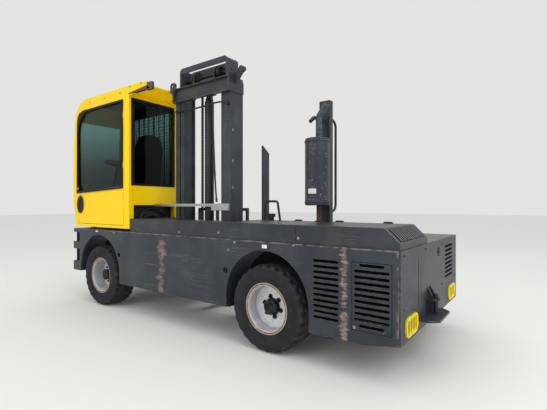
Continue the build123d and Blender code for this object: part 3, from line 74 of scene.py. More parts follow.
# %% [markdown]
# ## Studio
# A pale floor that rises to the same tone as the sky keeps attention on the truck. The world gives most of
# the light, as an overcast day does, and three large lamps add soft direction. The strongest stands behind
# the truck, since the photograph's rear wall is lighter than its side.


# %% Colour helper
def linear(hex_colour):
    """An sRGB hex colour as the linear RGBA that Blender's sockets take."""
    channels = [int(hex_colour[i : i + 2], 16) / 255 for i in (1, 3, 5)]
    return [c / 12.92 if c <= 0.04045 else ((c + 0.055) / 1.055) ** 2.4 for c in channels] + [1.0]


# %% Shader helpers: a node, a blend of two colours, a material
MIX_FACTOR, MIX_A, MIX_B, MIX_RESULT = 0, 6, 7, 2
MATERIALS = {}


def add_node(tree, kind, inputs=None, **settings):
    """Adds a node. inputs gives its sockets values or other sockets to link, settings its options."""
    made = tree.nodes.new(kind)
    for option, value in settings.items():
        setattr(made, option, value)
    for socket, value in (inputs or {}).items():
        if isinstance(value, bpy.types.NodeSocket):
            tree.links.new(value, made.inputs[socket])
        else:
            made.inputs[socket].default_value = value
    return made


def blend_colour(tree, mask, below, above):
    """above painted over below where mask is 1. A colour is a socket or an sRGB hex."""
    below, above = (linear(c) if isinstance(c, str) else c for c in (below, above))
    mix = {MIX_FACTOR: mask, MIX_A: below, MIX_B: above}
    return add_node(tree, "ShaderNodeMix", mix, data_type="RGBA").outputs[MIX_RESULT]


def start_material(name):
    """Makes an empty material, keeps it in MATERIALS and gives back its node tree."""
    made = MATERIALS[name] = bpy.data.materials.new(name)
    made.use_nodes = True
    made.node_tree.nodes.clear()
    return made.node_tree


def end_material(tree, inputs, height=None, strength=0.3, distance=0.001):
    """Joins colour, roughness and relief in one surface shader."""
    if height is not None:
        bump = {"Height": height, "Strength": strength, "Distance": distance}
        inputs = {**inputs, "Normal": add_node(tree, "ShaderNodeBump", bump).outputs[0]}
    surface = add_node(tree, "ShaderNodeBsdfPrincipled", inputs)
    add_node(tree, "ShaderNodeOutputMaterial", {"Surface": surface.outputs[0]})


# %% World and lamps
world = bpy.data.worlds.new("overcast sky")
bpy.context.scene.world = world
world.use_nodes = True
sky = world.node_tree
sky.nodes.clear()
rays = add_node(sky, "ShaderNodeLightPath")
seen = rays.outputs["Is Camera Ray"]
for ray in ("Is Glossy Ray", "Is Transmission Ray"):
    seen = add_node(sky, "ShaderNodeMath", {0: seen, 1: rays.outputs[ray]}, operation="MAXIMUM").outputs[0]
daylight = add_node(sky, "ShaderNodeBackground", {"Color": linear("#F2F4F6"), "Strength": 0.92})
backdrop = add_node(sky, "ShaderNodeBackground", {"Color": linear("#E4E4E2"), "Strength": 1.0})
shown = add_node(sky, "ShaderNodeMixShader", {0: seen, 1: daylight.outputs[0], 2: backdrop.outputs[0]})
add_node(sky, "ShaderNodeOutputWorld", {"Surface": shown.outputs[0]})

LAMPS = (
    # name, place, aim, size, watts
    ("key behind the truck", (-8.5, 3.5, 7.5), (-0.5, 0.3, 1.0), 6.0, 300),
    ("fill on the left side", (1.5, 9.5, 6.0), (0.3, 0.0, 1.2), 7.0, 190),
    ("top", (0.0, -1.0, 9.5), (0.0, 0.0, 0.0), 7.0, 100),
)
for name, place, aim, size, watts in LAMPS:
    light = bpy.data.lights.new(name, "AREA")
    light.size, light.energy = size, watts
    lamp = bpy.data.objects.new(name, light)
    lamp.location = place
    lamp.rotation_euler = (Vector(aim) - Vector(place)).to_track_quat("-Z", "Y").to_euler()
    bpy.context.scene.collection.objects.link(lamp)
bpy.context.scene.view_settings.view_transform = "Standard"
print("lamps:", [row[0] for row in LAMPS])

# %% Floor
FLOOR_HALF = 60.0
corners = [(x * FLOOR_HALF, y * FLOOR_HALF, 0) for x, y in ((-1, -1), (1, -1), (1, 1), (-1, 1))]
plate = bpy.data.meshes.new("studio_floor")
plate.from_pydata(corners, [], [(0, 1, 2, 3)])
tree = start_material("pale studio floor")
clouds = add_node(tree, "ShaderNodeTexNoise", {"Scale": 1.3, "Detail": 8.0}).outputs[0]
end_material(tree, {"Base Color": blend_colour(tree, clouds, "#E6E4E0", "#EDEBE7"), "Roughness": 0.9})
plate.materials.append(MATERIALS["pale studio floor"])
floor = bpy.data.objects.new("studio_floor", plate)
bpy.context.scene.collection.objects.link(floor)

# %% [markdown]
# ## Camera
# The photograph was taken standing, a little under eye height, behind the truck's left rear corner. Its
# horizon lies at the picture's middle row, so the camera is level. Its place and lens come from the two
# directions in which the truck's long and cross edges run together.

# %% Camera
camera_data = bpy.data.cameras.new("photographer")
camera_data.lens, camera_data.sensor_width = 24.94, 36.0
camera = bpy.data.objects.new("photographer", camera_data)
camera.location = (-3.4345, 3.979, 1.455)
camera.rotation_euler = Vector((0.592, -0.806, 0.0)).to_track_quat("-Z", "Y").to_euler()
bpy.context.scene.collection.objects.link(camera)
bpy.context.scene.camera = camera
print("camera at", tuple(round(v, 2) for v in camera.location))

# %% [markdown]
# ## Masks that wear a surface
# Paint on a working truck is never one colour. It fades in broad patches, it is scratched along the way
# loads slide, and it is rubbed off first where plates end. Each of these is a mask from 0 to 1, made from
# the place on the object in metres, so that the pattern keeps its real size and rides along when a part
# moves. The edge mask compares the surface's normal with one that is rounded over a few millimetres: the
# two differ only close to an edge.


# %% Mask helpers
def place_of(tree, scale=(1, 1, 1), offset=(0, 0, 0)):
    """The point on the object in metres, moved and then stretched for a pattern."""
    point = add_node(tree, "ShaderNodeTexCoord").outputs["Object"]
    mapping = {"Vector": point, "Scale": scale, "Location": offset}
    return add_node(tree, "ShaderNodeMapping", mapping).outputs[0]


def axis_of(tree, axis):
    """One coordinate of the point on the object, in metres."""
    return add_node(tree, "ShaderNodeSeparateXYZ", {0: place_of(tree)}).outputs[axis]


def band(tree, value, low, high, out_low=0.0, out_high=1.0):
    """value spread from low..high to out_low..out_high, smoothly, and held outside."""
    limits = {0: value, 1: low, 2: high, 3: out_low, 4: out_high}
    return add_node(tree, "ShaderNodeMapRange", limits, interpolation_type="SMOOTHSTEP").outputs[0]


def combine(tree, how, first, second):
    """Two masks put together by a sum, maximum or the like, held from 0 to 1."""
    return add_node(tree, "ShaderNodeMath", {0: first, 1: second}, operation=how, use_clamp=True).outputs[0]


def times(tree, first, second):
    """The product of two masks, or of a mask and a share."""
    return combine(tree, "MULTIPLY", first, second)


def between(tree, value, start, full, fade, end):
    """A mask that rises from start to full and falls from fade to end."""
    return times(tree, band(tree, value, start, full), band(tree, value, end, fade))


def wave(tree, value, turn):
    """A sine from -1 to 1, turn radians for each metre of value."""
    turns = add_node(tree, "ShaderNodeMath", {0: value, 1: turn}, operation="MULTIPLY").outputs[0]
    return add_node(tree, "ShaderNodeMath", {0: turns}, operation="SINE").outputs[0]


def noise(tree, point, scale, detail):
    """Soft noise from 0 to 1 with scale cells for each unit of point."""
    settings = {"Vector": point, "Scale": scale, "Detail": detail}
    return add_node(tree, "ShaderNodeTexNoise", settings).outputs[0]


def patches(tree, size, low=0.42, high=0.62, detail=6.0, stretch=(1, 1, 1), offset=(0, 0, 0)):
    """Soft irregular patches about size metres across."""
    point = place_of(tree, tuple(s / size for s in stretch), offset)
    return band(tree, noise(tree, point, 1.0, detail), low, high)


def edges(tree, radius):
    """1 on the edges of plates and 0 on their faces, over about radius metres."""
    rounded = add_node(tree, "ShaderNodeBevel", {"Radius": radius}, samples=4).outputs[0]
    flat = add_node(tree, "ShaderNodeNewGeometry").outputs["Normal"]
    likeness = add_node(tree, "ShaderNodeVectorMath", {0: rounded, 1: flat}, operation="DOT_PRODUCT")
    return band(tree, likeness.outputs["Value"], 0.99, 0.90)


# %% [markdown]
# ## Anthracite frame paint
# The frame and hood are welded steel plate, sprayed in a dark grey two-pack paint with a satin gloss. Years
# of steel and timber have scraped it: long thin scratches run along the truck, the paint has gone from
# plate edges down to brown rust, and two upright bands on the left side, where loads were leaned, show the
# pink-brown primer. Dust gathers low down and greys the flat tops.


# %% Satin steel paint with scratches, rust and dust
def scraped_paint(name, paint, faded, rust, scratch_way, wear=1.0, dusty=0.25, bands=()):
    """Sprayed plate. scratch_way stretches its scratches, wear scales them, bands are scraped x ranges."""
    tree = start_material(name)
    colour = blend_colour(tree, patches(tree, 0.45), paint, faded)
    streaks = patches(tree, 0.03, 0.45, 0.75, 3.0, (1.0, 1.0, 0.06), (3, 0, 0))
    colour = blend_colour(tree, times(tree, streaks, 0.12), colour, faded)
    dust = times(tree, patches(tree, 0.25, 0.5, 0.75, 8.0, offset=(5, 2, 0)), dusty)
    colour = blend_colour(tree, dust, colour, "#8A857C")
    fine = patches(tree, 0.12, 0.66, 0.70, 2.0, scratch_way, (1, 4, 2))
    groups = patches(tree, 0.5, 0.47, 0.6, 4.0, offset=(9, 1, 4))
    scratches = times(tree, times(tree, fine, groups), 0.55 * wear)
    colour = blend_colour(tree, scratches, colour, "#9C978F")
    rim = times(tree, edges(tree, 0.006), patches(tree, 0.06, 0.46, 0.56, 6.0, offset=(2, 7, 1)))
    chips = times(tree, patches(tree, 0.045, 0.69, 0.72, 5.0, offset=(4, 4, 8)), groups)
    bare = combine(tree, "MAXIMUM", times(tree, rim, 0.85 * wear), times(tree, chips, 0.8 * wear))
    for first, last, share, size in bands:
        half = (last - first) / 2
        core = between(
            tree, axis_of(tree, "X"), first - 0.3 * half, first + half, last - half, last + 0.3 * half
        )
        strokes = patches(tree, size, 0.22, 0.78, 8.0, (0.4, 1.0, 2.0), (0, 0, 6))
        lumps = patches(tree, 0.16, 0.3, 0.7, 4.0, (0.5, 1.0, 1.0), (0, 3, 5))
        scraped = combine(tree, "ADD", times(tree, core, 0.42), times(tree, strokes, 0.42))
        scraped = band(tree, combine(tree, "ADD", scraped, times(tree, lumps, 0.24)), 0.56, 0.80)
        primer = blend_colour(tree, patches(tree, 0.04, 0.35, 0.65, 6.0), "#A08980", "#6B5650")
        colour = blend_colour(tree, times(tree, scraped, share), colour, primer)
    if bands:
        top_edge = band(tree, axis_of(tree, "Z"), deck_z - 0.016, deck_z - 0.006)
        rear_edge = band(tree, axis_of(tree, "X"), rear_x + 0.045, rear_x + 0.012)
        rubbed = patches(tree, 0.05, 0.4, 0.6, 6.0, (0.6, 1, 0.6))
        rubbed = times(tree, combine(tree, "MAXIMUM", top_edge, rear_edge), rubbed)
        colour = blend_colour(tree, times(tree, rubbed, 0.55), colour, "#9A8A86")
    worn = blend_colour(tree, patches(tree, 0.03, 0.4, 0.6, 4.0), rust, "#9C8479")
    colour = blend_colour(tree, bare, colour, worn)
    rough = band(tree, combine(tree, "MAXIMUM", bare, dust), 0.0, 1.0, 0.42, 0.8)
    grain = times(tree, noise(tree, place_of(tree), 260.0, 2.0), 0.25)
    height = combine(tree, "SUBTRACT", grain, times(tree, bare, 0.6))
    end_material(tree, {"Base Color": colour, "Roughness": rough, "Specular IOR Level": 0.4}, height, 0.35)


ALONG, ACROSS, UPRIGHT = (0.12, 1.0, 30.0), (30.0, 0.12, 1.0), (30.0, 30.0, 0.12)
first_band = rear_x + 0.425
second_band = rear_x + 2.835
BANDS = (
    # rear end, front end, share, size of the strokes
    (first_band, first_band + 0.110, 0.85, 0.035),
    (second_band - 0.02, second_band + 0.22, 0.6, 0.11),
)
PLATES = (
    # name, paint, faded paint, rust, way of the scratches, wear, dust, bands
    ("scraped anthracite plate", "#252C33", "#2F363E", "#5B3B2C", ALONG, 0.8, 0.06, BANDS),
    ("anthracite plate", "#262B31", "#2F343A", "#5B3B2C", ALONG, 0.8, 0.08),
    ("rusty deck plate", "#47433E", "#5A544C", "#6A4630", ACROSS, 1.3, 0.4),
    ("mast paint with grease", "#2A2F36", "#343A41", "#54402F", UPRIGHT, 0.7, 0.08),
    ("black satin paint", "#191C20", "#22262A", "#3A2A20", UPRIGHT, 0.3, 0.03),
    ("faded silencer paint", "#272C34", "#343A43", "#5A3E2C", UPRIGHT, 0.5, 0.02),
    # The grille bars' grey, lighter than the hood's paint, is a painted highlight for the light the bar tops
    # catch; the wear on it is real.
    ("grille bar paint with painted highlight", "#565B60", "#62676B", "#5B3B2C", ALONG, 0.6, 0.2),
    ("dark brown steel", "#4A3A31", "#574338", "#5B3B2C", ALONG, 0.5, 0.1),
)
for plate_row in PLATES:
    scraped_paint(*plate_row)
print("plate finishes:", [plate_row[0] for plate_row in PLATES])

# %% [markdown]
# ## Yellow cab enamel
# The cab is pressed and welded sheet, sprayed in a strong yellow gloss. Its smooth skin gives the soft
# bright reflections. Rain leaves faint grey runs below the sills, and dirt sits in the corners.


# %% Glossy enamel
def glossy_enamel(name, paint, shade, grime="#6B5A1E", dirt=0.35):
    """Sprayed enamel with a clear gloss, slightly orange-peeled, with rain marks and dirt at its edges."""
    tree = start_material(name)
    colour = blend_colour(tree, patches(tree, 0.8, 0.35, 0.7), paint, shade)
    runs = patches(tree, 0.035, 0.58, 0.74, 4.0, (1.0, 1.0, 0.07), (2, 5, 1))
    colour = blend_colour(tree, times(tree, runs, 0.08 * dirt), colour, grime)
    rim = times(tree, edges(tree, 0.007), patches(tree, 0.05, 0.44, 0.6))
    colour = blend_colour(tree, times(tree, rim, dirt), colour, grime)
    chips = patches(tree, 0.02, 0.735, 0.755, 4.0, offset=(6, 1, 3))
    colour = blend_colour(tree, times(tree, chips, 0.7), colour, "#4A3B2A")
    rough = band(tree, runs, 0.0, 1.0, 0.3, 0.45)
    peel = noise(tree, place_of(tree), 320.0, 1.0)
    end_material(tree, {"Base Color": colour, "Roughness": rough, "Specular IOR Level": 0.22}, peel, 0.06)


glossy_enamel("yellow cab enamel", "#FFD600", "#FBCB00")
glossy_enamel("lamp guard enamel", "#EFE000", "#DCCB00", dirt=0.8)

# %% [markdown]
# ## Tyre rubber
# Solid industrial tyres are moulded in black rubber that greys with dust. The tread's outside is scuffed
# brown-grey by the ground and the side walls stay darker, so the mask here is the distance from the axle.
# Rings moulded in the side wall give it relief.


# %% Dusty moulded rubber
RING_TURN = 330.0  # radians a metre: a moulded ring every 19 mm


def from_axle(tree, axle_x, axle_z):
    """Distance in metres from a wheel's axle."""
    point = place_of(tree, (1, 0, 1), (-axle_x, 0, -axle_z))
    return add_node(tree, "ShaderNodeVectorMath", {0: point}, operation="LENGTH").outputs["Value"]


def dusty_rubber(name, axle_x, axle_z):
    """Moulded tyre rubber, dustier towards the tread."""
    tree = start_material(name)
    radius = from_axle(tree, axle_x, axle_z)
    colour = blend_colour(tree, patches(tree, 0.12), "#1A1D21", "#23262B")
    tread = times(tree, band(tree, radius, 0.375, 0.425), patches(tree, 0.05, 0.3, 0.7, 8.0))
    spots = times(tree, patches(tree, 0.07, 0.55, 0.8, 8.0), 0.25)
    dust = combine(tree, "MAXIMUM", times(tree, tread, 0.4), spots)
    colour = blend_colour(tree, dust, colour, "#54524E")
    wall = times(tree, band(tree, radius, 0.36, 0.33), 0.35)
    rings = times(tree, wave(tree, radius, RING_TURN), wall)
    height = combine(tree, "ADD", rings, times(tree, noise(tree, place_of(tree), 180.0, 4.0), 0.4))
    end_material(tree, {"Base Color": colour, "Roughness": 0.82, "Specular IOR Level": 0.35}, height, 0.4)


# %% Silver rim paint
def rim_paint(name, axle_x, axle_z, edge):
    """Silver sprayed steel, rusting where the tyre's bead has rubbed its edge."""
    tree = start_material(name)
    radius = from_axle(tree, axle_x, axle_z)
    colour = blend_colour(tree, patches(tree, 0.2), "#C6CACD", "#D6D9DB")
    grime = times(tree, patches(tree, 0.06, 0.5, 0.7, 8.0, offset=(3, 3, 3)), 0.35)
    colour = blend_colour(tree, grime, colour, "#6F6D68")
    # A grey ring just inside the cream band is a painted shadow under the rim's step.
    step = between(tree, radius, edge - 0.044, edge - 0.039, edge - 0.035, edge - 0.030)
    colour = blend_colour(tree, times(tree, step, 0.5), colour, "#83827E")
    cream = band(tree, radius, edge - 0.030, edge - 0.026)
    colour = blend_colour(tree, cream, colour, "#CDC2AC")
    groove = between(tree, radius, edge - 0.026, edge - 0.021, edge - 0.011, edge - 0.004)
    lip = times(tree, groove, patches(tree, 0.05, 0.22, 0.5, 6.0))
    spots = times(tree, patches(tree, 0.02, 0.68, 0.72, 4.0, offset=(1, 6, 2)), 0.8)
    rust = combine(tree, "MAXIMUM", times(tree, lip, 0.85), spots)
    colour = blend_colour(tree, rust, colour, "#7A4E2A")
    rough = band(tree, rust, 0.0, 1.0, 0.42, 0.8)
    end_material(tree, {"Base Color": colour, "Roughness": rough, "Metallic": 0.15}, rust, 0.3)


rim_low, rim_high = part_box("rim_rear_left")
bead_radius = (rim_high.x - rim_low.x) / 2 - 0.024
for row, body in (("front", "wheel_front_left"), ("rear", "wheel_rear_left")):
    centre = wheel_centre[body]
    dusty_rubber(f"{row} tyre rubber", centre.x, centre.z)
    rim_paint(f"{row} silver rim paint", centre.x, centre.z, bead_radius)
print("the tyre's bead closes in to radius", round(bead_radius, 3))

# %% [markdown]
# ## Steel, aluminium, glass, plastic and cloth
# The rest of the truck uses few finishes. Ground steel on the hydraulic rods is bright and smooth. The reach
# rail is drawn aluminium, whose fine lines run along it. Cast axles and chains are dark and greasy. The glass
# is tinted, darker towards its foot and lighter towards its top, where the lighter colour is a painted
# reflection of the pale sky. Its index of refraction is set low, because that weakens the pale reflection,
# which hides the inside of the cab. The plastics are dull.


# %% Metals
def metal(name, colour, second, roughness, way=(1, 1, 1), size=0.02, grease=None):
    """Bare metal with lines or patches of a real size, and grease if a colour for it is given."""
    tree = start_material(name)
    lines = patches(tree, size, 0.3, 0.7, 3.0, way)
    shade = blend_colour(tree, lines, colour, second)
    metallic, rough = 1.0, band(tree, lines, 0.0, 1.0, roughness, roughness + 0.15)
    if grease:
        film = patches(tree, 0.08, 0.35, 0.65, 6.0, offset=(7, 2, 5))
        shade = blend_colour(tree, film, shade, grease)
        metallic = band(tree, film, 0.0, 1.0, 0.9, 0.0)
        rough = band(tree, film, 0.0, 1.0, roughness, 0.55)
    end_material(tree, {"Base Color": shade, "Metallic": metallic, "Roughness": rough}, lines, 0.12)


metal("ground rod steel", "#C9CBCC", "#B7B9BA", 0.14, (1, 1, 0.1), 0.01)
metal("drawn aluminium", "#BFC1C2", "#A5A7A8", 0.32, (0.05, 1, 1), 0.004)
metal("greasy cast steel", "#4B4A48", "#3A3937", 0.5, size=0.03, grease="#1E1D1B")
metal("galvanised bolt steel", "#A9ABAA", "#8E908F", 0.35, size=0.01)
metal("dark hub iron", "#2B2B29", "#1E1E1C", 0.5, size=0.02, grease="#161615")

# %% Exhaust pipe, baked brown at its inlet and sooty at its outlet
tree = start_material("baked exhaust steel")
scale = patches(tree, 0.03, 0.3, 0.7, 8.0)
inlet = blend_colour(tree, scale, "#5F4736", "#3A2B22")
outlet = blend_colour(tree, scale, "#33393C", "#565C5F")
colour = blend_colour(tree, band(tree, axis_of(tree, "Z"), 1.44, 1.6), inlet, outlet)
end_material(tree, {"Base Color": colour, "Roughness": 0.6, "Specular IOR Level": 0.35}, scale, 0.3)

# %% Greasy leaf chain, its plates drawn coarser than the real 19 mm pitch so that they show
CHAIN_PITCH = 0.038
tree = start_material("greasy leaf chain")
plates = band(tree, wave(tree, axis_of(tree, "Z"), math.tau / CHAIN_PITCH), -0.5, 0.5)
colour = blend_colour(tree, plates, "#151413", "#4A4742")
end_material(tree, {"Base Color": colour, "Metallic": 0.6, "Roughness": 0.45}, plates, 0.9, 0.004)

# %% Tinted glass, lighter towards its top as a painted sky reflection
tree = start_material("tinted cab glass with painted reflection")
rough = band(tree, patches(tree, 0.3, 0.4, 0.8, 6.0), 0.0, 1.0, 0.02, 0.07)
# The colour grows lighter towards the top of the pane: a painted reflection of the sky over the glass's tint.
tint_and_painted_reflection = blend_colour(tree, band(tree, axis_of(tree, "Z"), 1.75, 2.75), "#4F6664", "#8FB0AE")
end_material(tree, {"Base Color": tint_and_painted_reflection, "Roughness": rough, "Transmission Weight": 1.0, "IOR": 1.2})


# %% Plastics and rubber trim
def moulded(name, colour, second, roughness, grain=0.0012, strength=0.25, **extra):
    """Moulded plastic or rubber with a fine grain."""
    tree = start_material(name)
    shade = blend_colour(tree, patches(tree, 0.1), colour, second)
    skin = noise(tree, place_of(tree), 1 / grain, 2.0)
    rough = band(tree, patches(tree, 0.05), 0.0, 1.0, roughness, roughness + 0.08)
    end_material(tree, {"Base Color": shade, "Roughness": rough, **extra}, skin, strength)


moulded("black moulded plastic", "#1B1C1D", "#242526", 0.55)
moulded("black window rubber", "#0C0D0E", "#131415", 0.7, 0.003, **{"Specular IOR Level": 0.2})
moulded("hose rubber", "#141516", "#1E1F20", 0.5, 0.002)
moulded("orange lamp lens", "#D8440C", "#C23A08", 0.15, 0.006, 0.5, **{"Coat Weight": 0.5})
moulded("white label film", "#E6E6E2", "#D8D8D4", 0.4)
# Near-black fill for dark joints, and for sheets of painted shade behind slots and openings.
moulded("black joint fill and painted shade", "#030303", "#060606", 0.9, 0.003, **{"Specular IOR Level": 0.1})
moulded("black printed glass edge", "#070A0B", "#0C0F11", 0.3, 0.02, 0.02, **{"Specular IOR Level": 0.15})

# %% Woven seat cloth
THREAD = 0.004
tree = start_material("woven seat cloth")
weft, warp = (wave(tree, axis_of(tree, axis), math.tau / THREAD) for axis in ("Y", "Z"))
weave = combine(tree, "ADD", weft, warp)
cloth = {
    "Base Color": blend_colour(tree, patches(tree, 0.1), "#12161A", "#1B2025"),
    "Roughness": 0.9, "Sheen Weight": 0.05, "Sheen Roughness": 0.5,
}
end_material(tree, cloth, weave, 0.4)
print("materials:", len(MATERIALS))

# %% [markdown]
# ## Finishes on the CAD pieces
# A CAD piece keeps its shape and only gets a material. This table says which, in the order of the truck
# from the frame outwards.

# %% Paint the frame
FINISH = {
    "scraped anthracite plate": ("side_frame_left",),
    "anthracite plate": (
        "side_frame_right", "end_walls", "cab_steps", "well_bulkheads", "reach_rails", "spine", "belly_plate",
        "hood_lid", "hood_cover_rear", "hood_cover_front", "load_stop", "tow_coupling",
    ),
    "rusty deck plate": ("decks",),
    "mast paint with grease": ("reach_frame", "outer_mast", "inner_mast", "fork_carriage", "forks"),
    "faded silencer paint": ("muffler",),
    "black satin paint": ("exhaust_guard", "filler_guard", "window_guard", "lift_cylinder"),
    "baked exhaust steel": ("exhaust_pipes",),
    "yellow cab enamel": (
        "cab_floor", "cab_right_wall", "cab_left_frame", "cab_front", "cab_roof", "cab_rear_wall", "door_frame",
    ),
    "lamp guard enamel": ("lamp_guards",),
    "tinted cab glass with painted reflection": ("cab_glass", "door_glass"),
    "woven seat cloth": ("seat",),
    "black moulded plastic": ("steering_column",),
    "orange lamp lens": ("rear_lamps",),
    "greasy cast steel": (
        "engine_block", "front_axle", "steer_axle", "knuckle_left", "knuckle_right", "chain_sheaves",
    ),
    "greasy leaf chain": ("chain_carriage_strands", "chain_anchor_strands"),
    "ground rod steel": ("steer_rod", "tilt_rods", "lift_rod", "mast_pins"),
    "hose rubber": ("mast_hoses",),
    "drawn aluminium": ("guide_rail",),
    "front tyre rubber": ("tyre_front_left", "tyre_front_right"),
    "rear tyre rubber": ("tyre_rear_left", "tyre_rear_right"),
    "front silver rim paint": ("rim_front_left", "rim_front_right"),
    "rear silver rim paint": ("rim_rear_left", "rim_rear_right"),
}
for finish, names in FINISH.items():
    for name in names:
        cad[name].data.materials.clear()
        cad[name].data.materials.append(MATERIALS[finish])
unpainted = sorted(set(cad) - {name for names in FINISH.values() for name in names})
print("pieces without a finish:", unpainted)

# %% [markdown]
# ## Forms that the frame leaves to this lesson
# The CAD has every plate, wheel and section. What it leaves out is small and repeated: tyre lugs, nuts, seals,
# screws and hoses. Three ways of making a form cover all of them: a block with broken edges, a turned form
# from a profile, and a round tube along a path. Each finished piece rides on the body that carries it.


# %% Shape helpers
TO_FRONT, TO_REAR, TO_LEFT, TO_TOP = (1, 0, 0), (-1, 0, 0), (0, 1, 0), (0, 0, 1)


def add_block(shape, x, y, z, chamfer=0.0):
    """A block between limits on each axis, its edges broken by chamfer."""
    low, high = Vector((x[0], y[0], z[0])), Vector((x[1], y[1], z[1]))
    placed = Matrix.Translation((low + high) / 2) @ Matrix.Diagonal((*(high - low), 1.0))
    made = bmesh.ops.create_cube(shape, size=1.0, matrix=placed)
    if chamfer:
        found = list({edge for vertex in made["verts"] for edge in vertex.link_edges})
        bmesh.ops.bevel(shape, geom=found, offset=chamfer, segments=2, affect="EDGES", profile=0.5)


def add_rings(shape, rings, closed=False):
    """Skins a list of point rings that have equal counts, and caps the ends unless the list is closed."""
    made = [[shape.verts.new(point) for point in ring] for ring in rings]
    pairs = list(zip(made, made[1:])) + ([(made[-1], made[0])] if closed else [])
    for first, second in pairs:
        for index in range(len(first)):
            following = (index + 1) % len(first)
            shape.faces.new((first[index], first[following], second[following], second[index]))
    if not closed:
        shape.faces.new(list(reversed(made[0])))
        shape.faces.new(made[-1])


def add_prism(shape, outline, low_y, high_y):
    """An (x, z) outline carried across the truck."""
    add_rings(shape, [[(x, y, z) for x, z in outline] for y in (low_y, high_y)])


def round_angles(count):
    """Equal steps round a full turn, in radians."""
    return [math.tau * step / count for step in range(count)]


def add_turned(shape, place, axis, profile, sides=24, closed=False):
    """A turned form: profile lists (distance along the axis, radius). Six sides make a nut."""
    turn = Vector(axis).to_track_quat("Z", "Y").to_matrix()
    rings = []
    for along, radius in profile:
        ring = [Vector((radius * math.cos(a), radius * math.sin(a), along)) for a in round_angles(sides)]
        rings.append([Vector(place) + turn @ point for point in ring])
    add_rings(shape, rings, closed)


def curve_through(points, steps=6):
    """Points on a smooth curve through the given ones."""
    spots = [Vector(point) for point in points]
    spots = [2 * spots[0] - spots[1], *spots, 2 * spots[-1] - spots[-2]]
    path = []
    for before, start, end, after in zip(spots, spots[1:], spots[2:], spots[3:]):
        for step in range(steps):
            t = step / steps
            bend = (2 * before - 5 * start + 4 * end - after) * t * t
            twist = (3 * start - before - 3 * end + after) * t**3
            path.append((2 * start + (end - before) * t + bend + twist) / 2)
    return path + [spots[-2]]


def add_tube(shape, points, radius, sides=10):
    """A round tube along the points."""
    last = len(points) - 1
    rings = []
    side = None
    for index, point in enumerate(points):
        ahead = (points[min(index + 1, last)] - points[max(index - 1, 0)]).normalized()
        side = (ahead.orthogonal() if side is None else side - ahead * side.dot(ahead)).normalized()
        up = ahead.cross(side)
        rings.append([point + radius * (side * math.cos(t) + up * math.sin(t)) for t in round_angles(sides)])
    add_rings(shape, rings)


def add_seal(shape, out, level, inner, outer, depth):
    """A flat ring between two outlines, its foot level metres along the axis out and depth thick."""
    lift = Vector(out) * depth
    rings = []
    for inner_point, outer_point in zip(inner, outer):
        a, b = (
            Vector((u, level, v)) if out == TO_LEFT else Vector((level, u, v))
            for u, v in (inner_point, outer_point)
        )
        rings.append([a, a + lift, (a + b) / 2 + lift * 1.25, b + lift, b])
    add_rings(shape, rings, closed=True)


BOLT_HEAD = ((0, 1.0), (0.55, 1.0), (0.7, 0.85), (0.72, 0.4))


def add_bolt(shape, place, axis, radius, sides=6):
    """A bolt or screw head of a given radius, with its edge turned off."""
    add_turned(shape, place, axis, [(along * radius, share * radius) for along, share in BOLT_HEAD], sides)


def finish_shape(shape, name, finish, body="chassis", angle=35):
    """Makes the form an object with smooth faces, sharp where they meet at more than angle degrees."""
    bmesh.ops.recalc_face_normals(shape, faces=shape.faces)
    mesh = bpy.data.meshes.new(name)
    shape.to_mesh(mesh)
    shape.free()
    mesh.shade_smooth()
    mesh.set_sharp_from_angle(angle=math.radians(angle))
    mesh.materials.append(MATERIALS[finish])
    piece = bpy.data.objects.new(name, mesh)
    bpy.context.scene.collection.objects.link(piece)
    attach(piece, body)
    print(f"{name}: {len(mesh.polygons)} faces on {body}")
    return piece


def make_piece(add, forms, name, finish, body="chassis"):
    """A piece made of forms of one kind. Each row holds what add, such as add_bolt, takes."""
    shape = bmesh.new()
    for form in forms:
        add(shape, *form)
    return finish_shape(shape, name, finish, body)


# %% [markdown]
# ## Tyre lugs and beads
# The tyres are solid rubber with a smooth middle band and heavy lugs on both shoulders, 26 a side, moulded
# with the tyre. Each lug is one section of the shoulder carried over five places round the wheel and sunk at
# both ends, which rounds its edges as the mould does. A thick bead of rubber closes over the rim's flange.

# %% Lugs and beads
LUG_COUNT = 26
LUG_HALF_ANGLE = 0.60 * math.pi / LUG_COUNT
LUG_SKEW = 0.035
tyre_radius = wheel_centre["wheel_rear_left"].z
LUG_SECTION = (
    # across the tyre, below the tread's radius
    (0.078, 0.020), (0.079, 0.0015), (0.112, 0.001), (0.140, 0.007), (0.157, 0.022), (0.1635, 0.046),
    (0.1625, 0.062), (0.150, 0.060),
)
LUG_STATIONS = ((-1.0, 0.014), (-0.86, 0.003), (0.0, 0.0), (0.86, 0.003), (1.0, 0.014))
BEAD_SECTION = (
    # across the tyre, above the bead's radius
    (0.1375, 0.0), (0.144, 0.001), (0.155, 0.012), (0.1600, 0.028), (0.1585, 0.034), (0.1650, 0.046),
    (0.1670, 0.070), (0.1655, 0.090), (0.1500, 0.092), (0.1375, 0.020),
)
LINER_SECTION = (
    # across the rim, above the bead's radius: a lock ring, its groove and a stepped barrel
    (0.1385, 0.001), (0.1440, -0.003), (0.1440, -0.009), (0.1370, -0.013), (0.1350, -0.018), (0.1410, -0.021),
    (0.1400, -0.027), (0.1200, -0.033),
)
DISC_FACE = {"front": -0.021, "rear": 0.024}
wheels = [
    (body, centre, *body.split("_")[1:], 1 if body.endswith("left") else -1)
    for body, centre in wheel_centre.items()
]


def from_bead(section):
    """A section whose heights are measured from the bead's radius."""
    return [(across, bead_radius + above) for across, above in section]


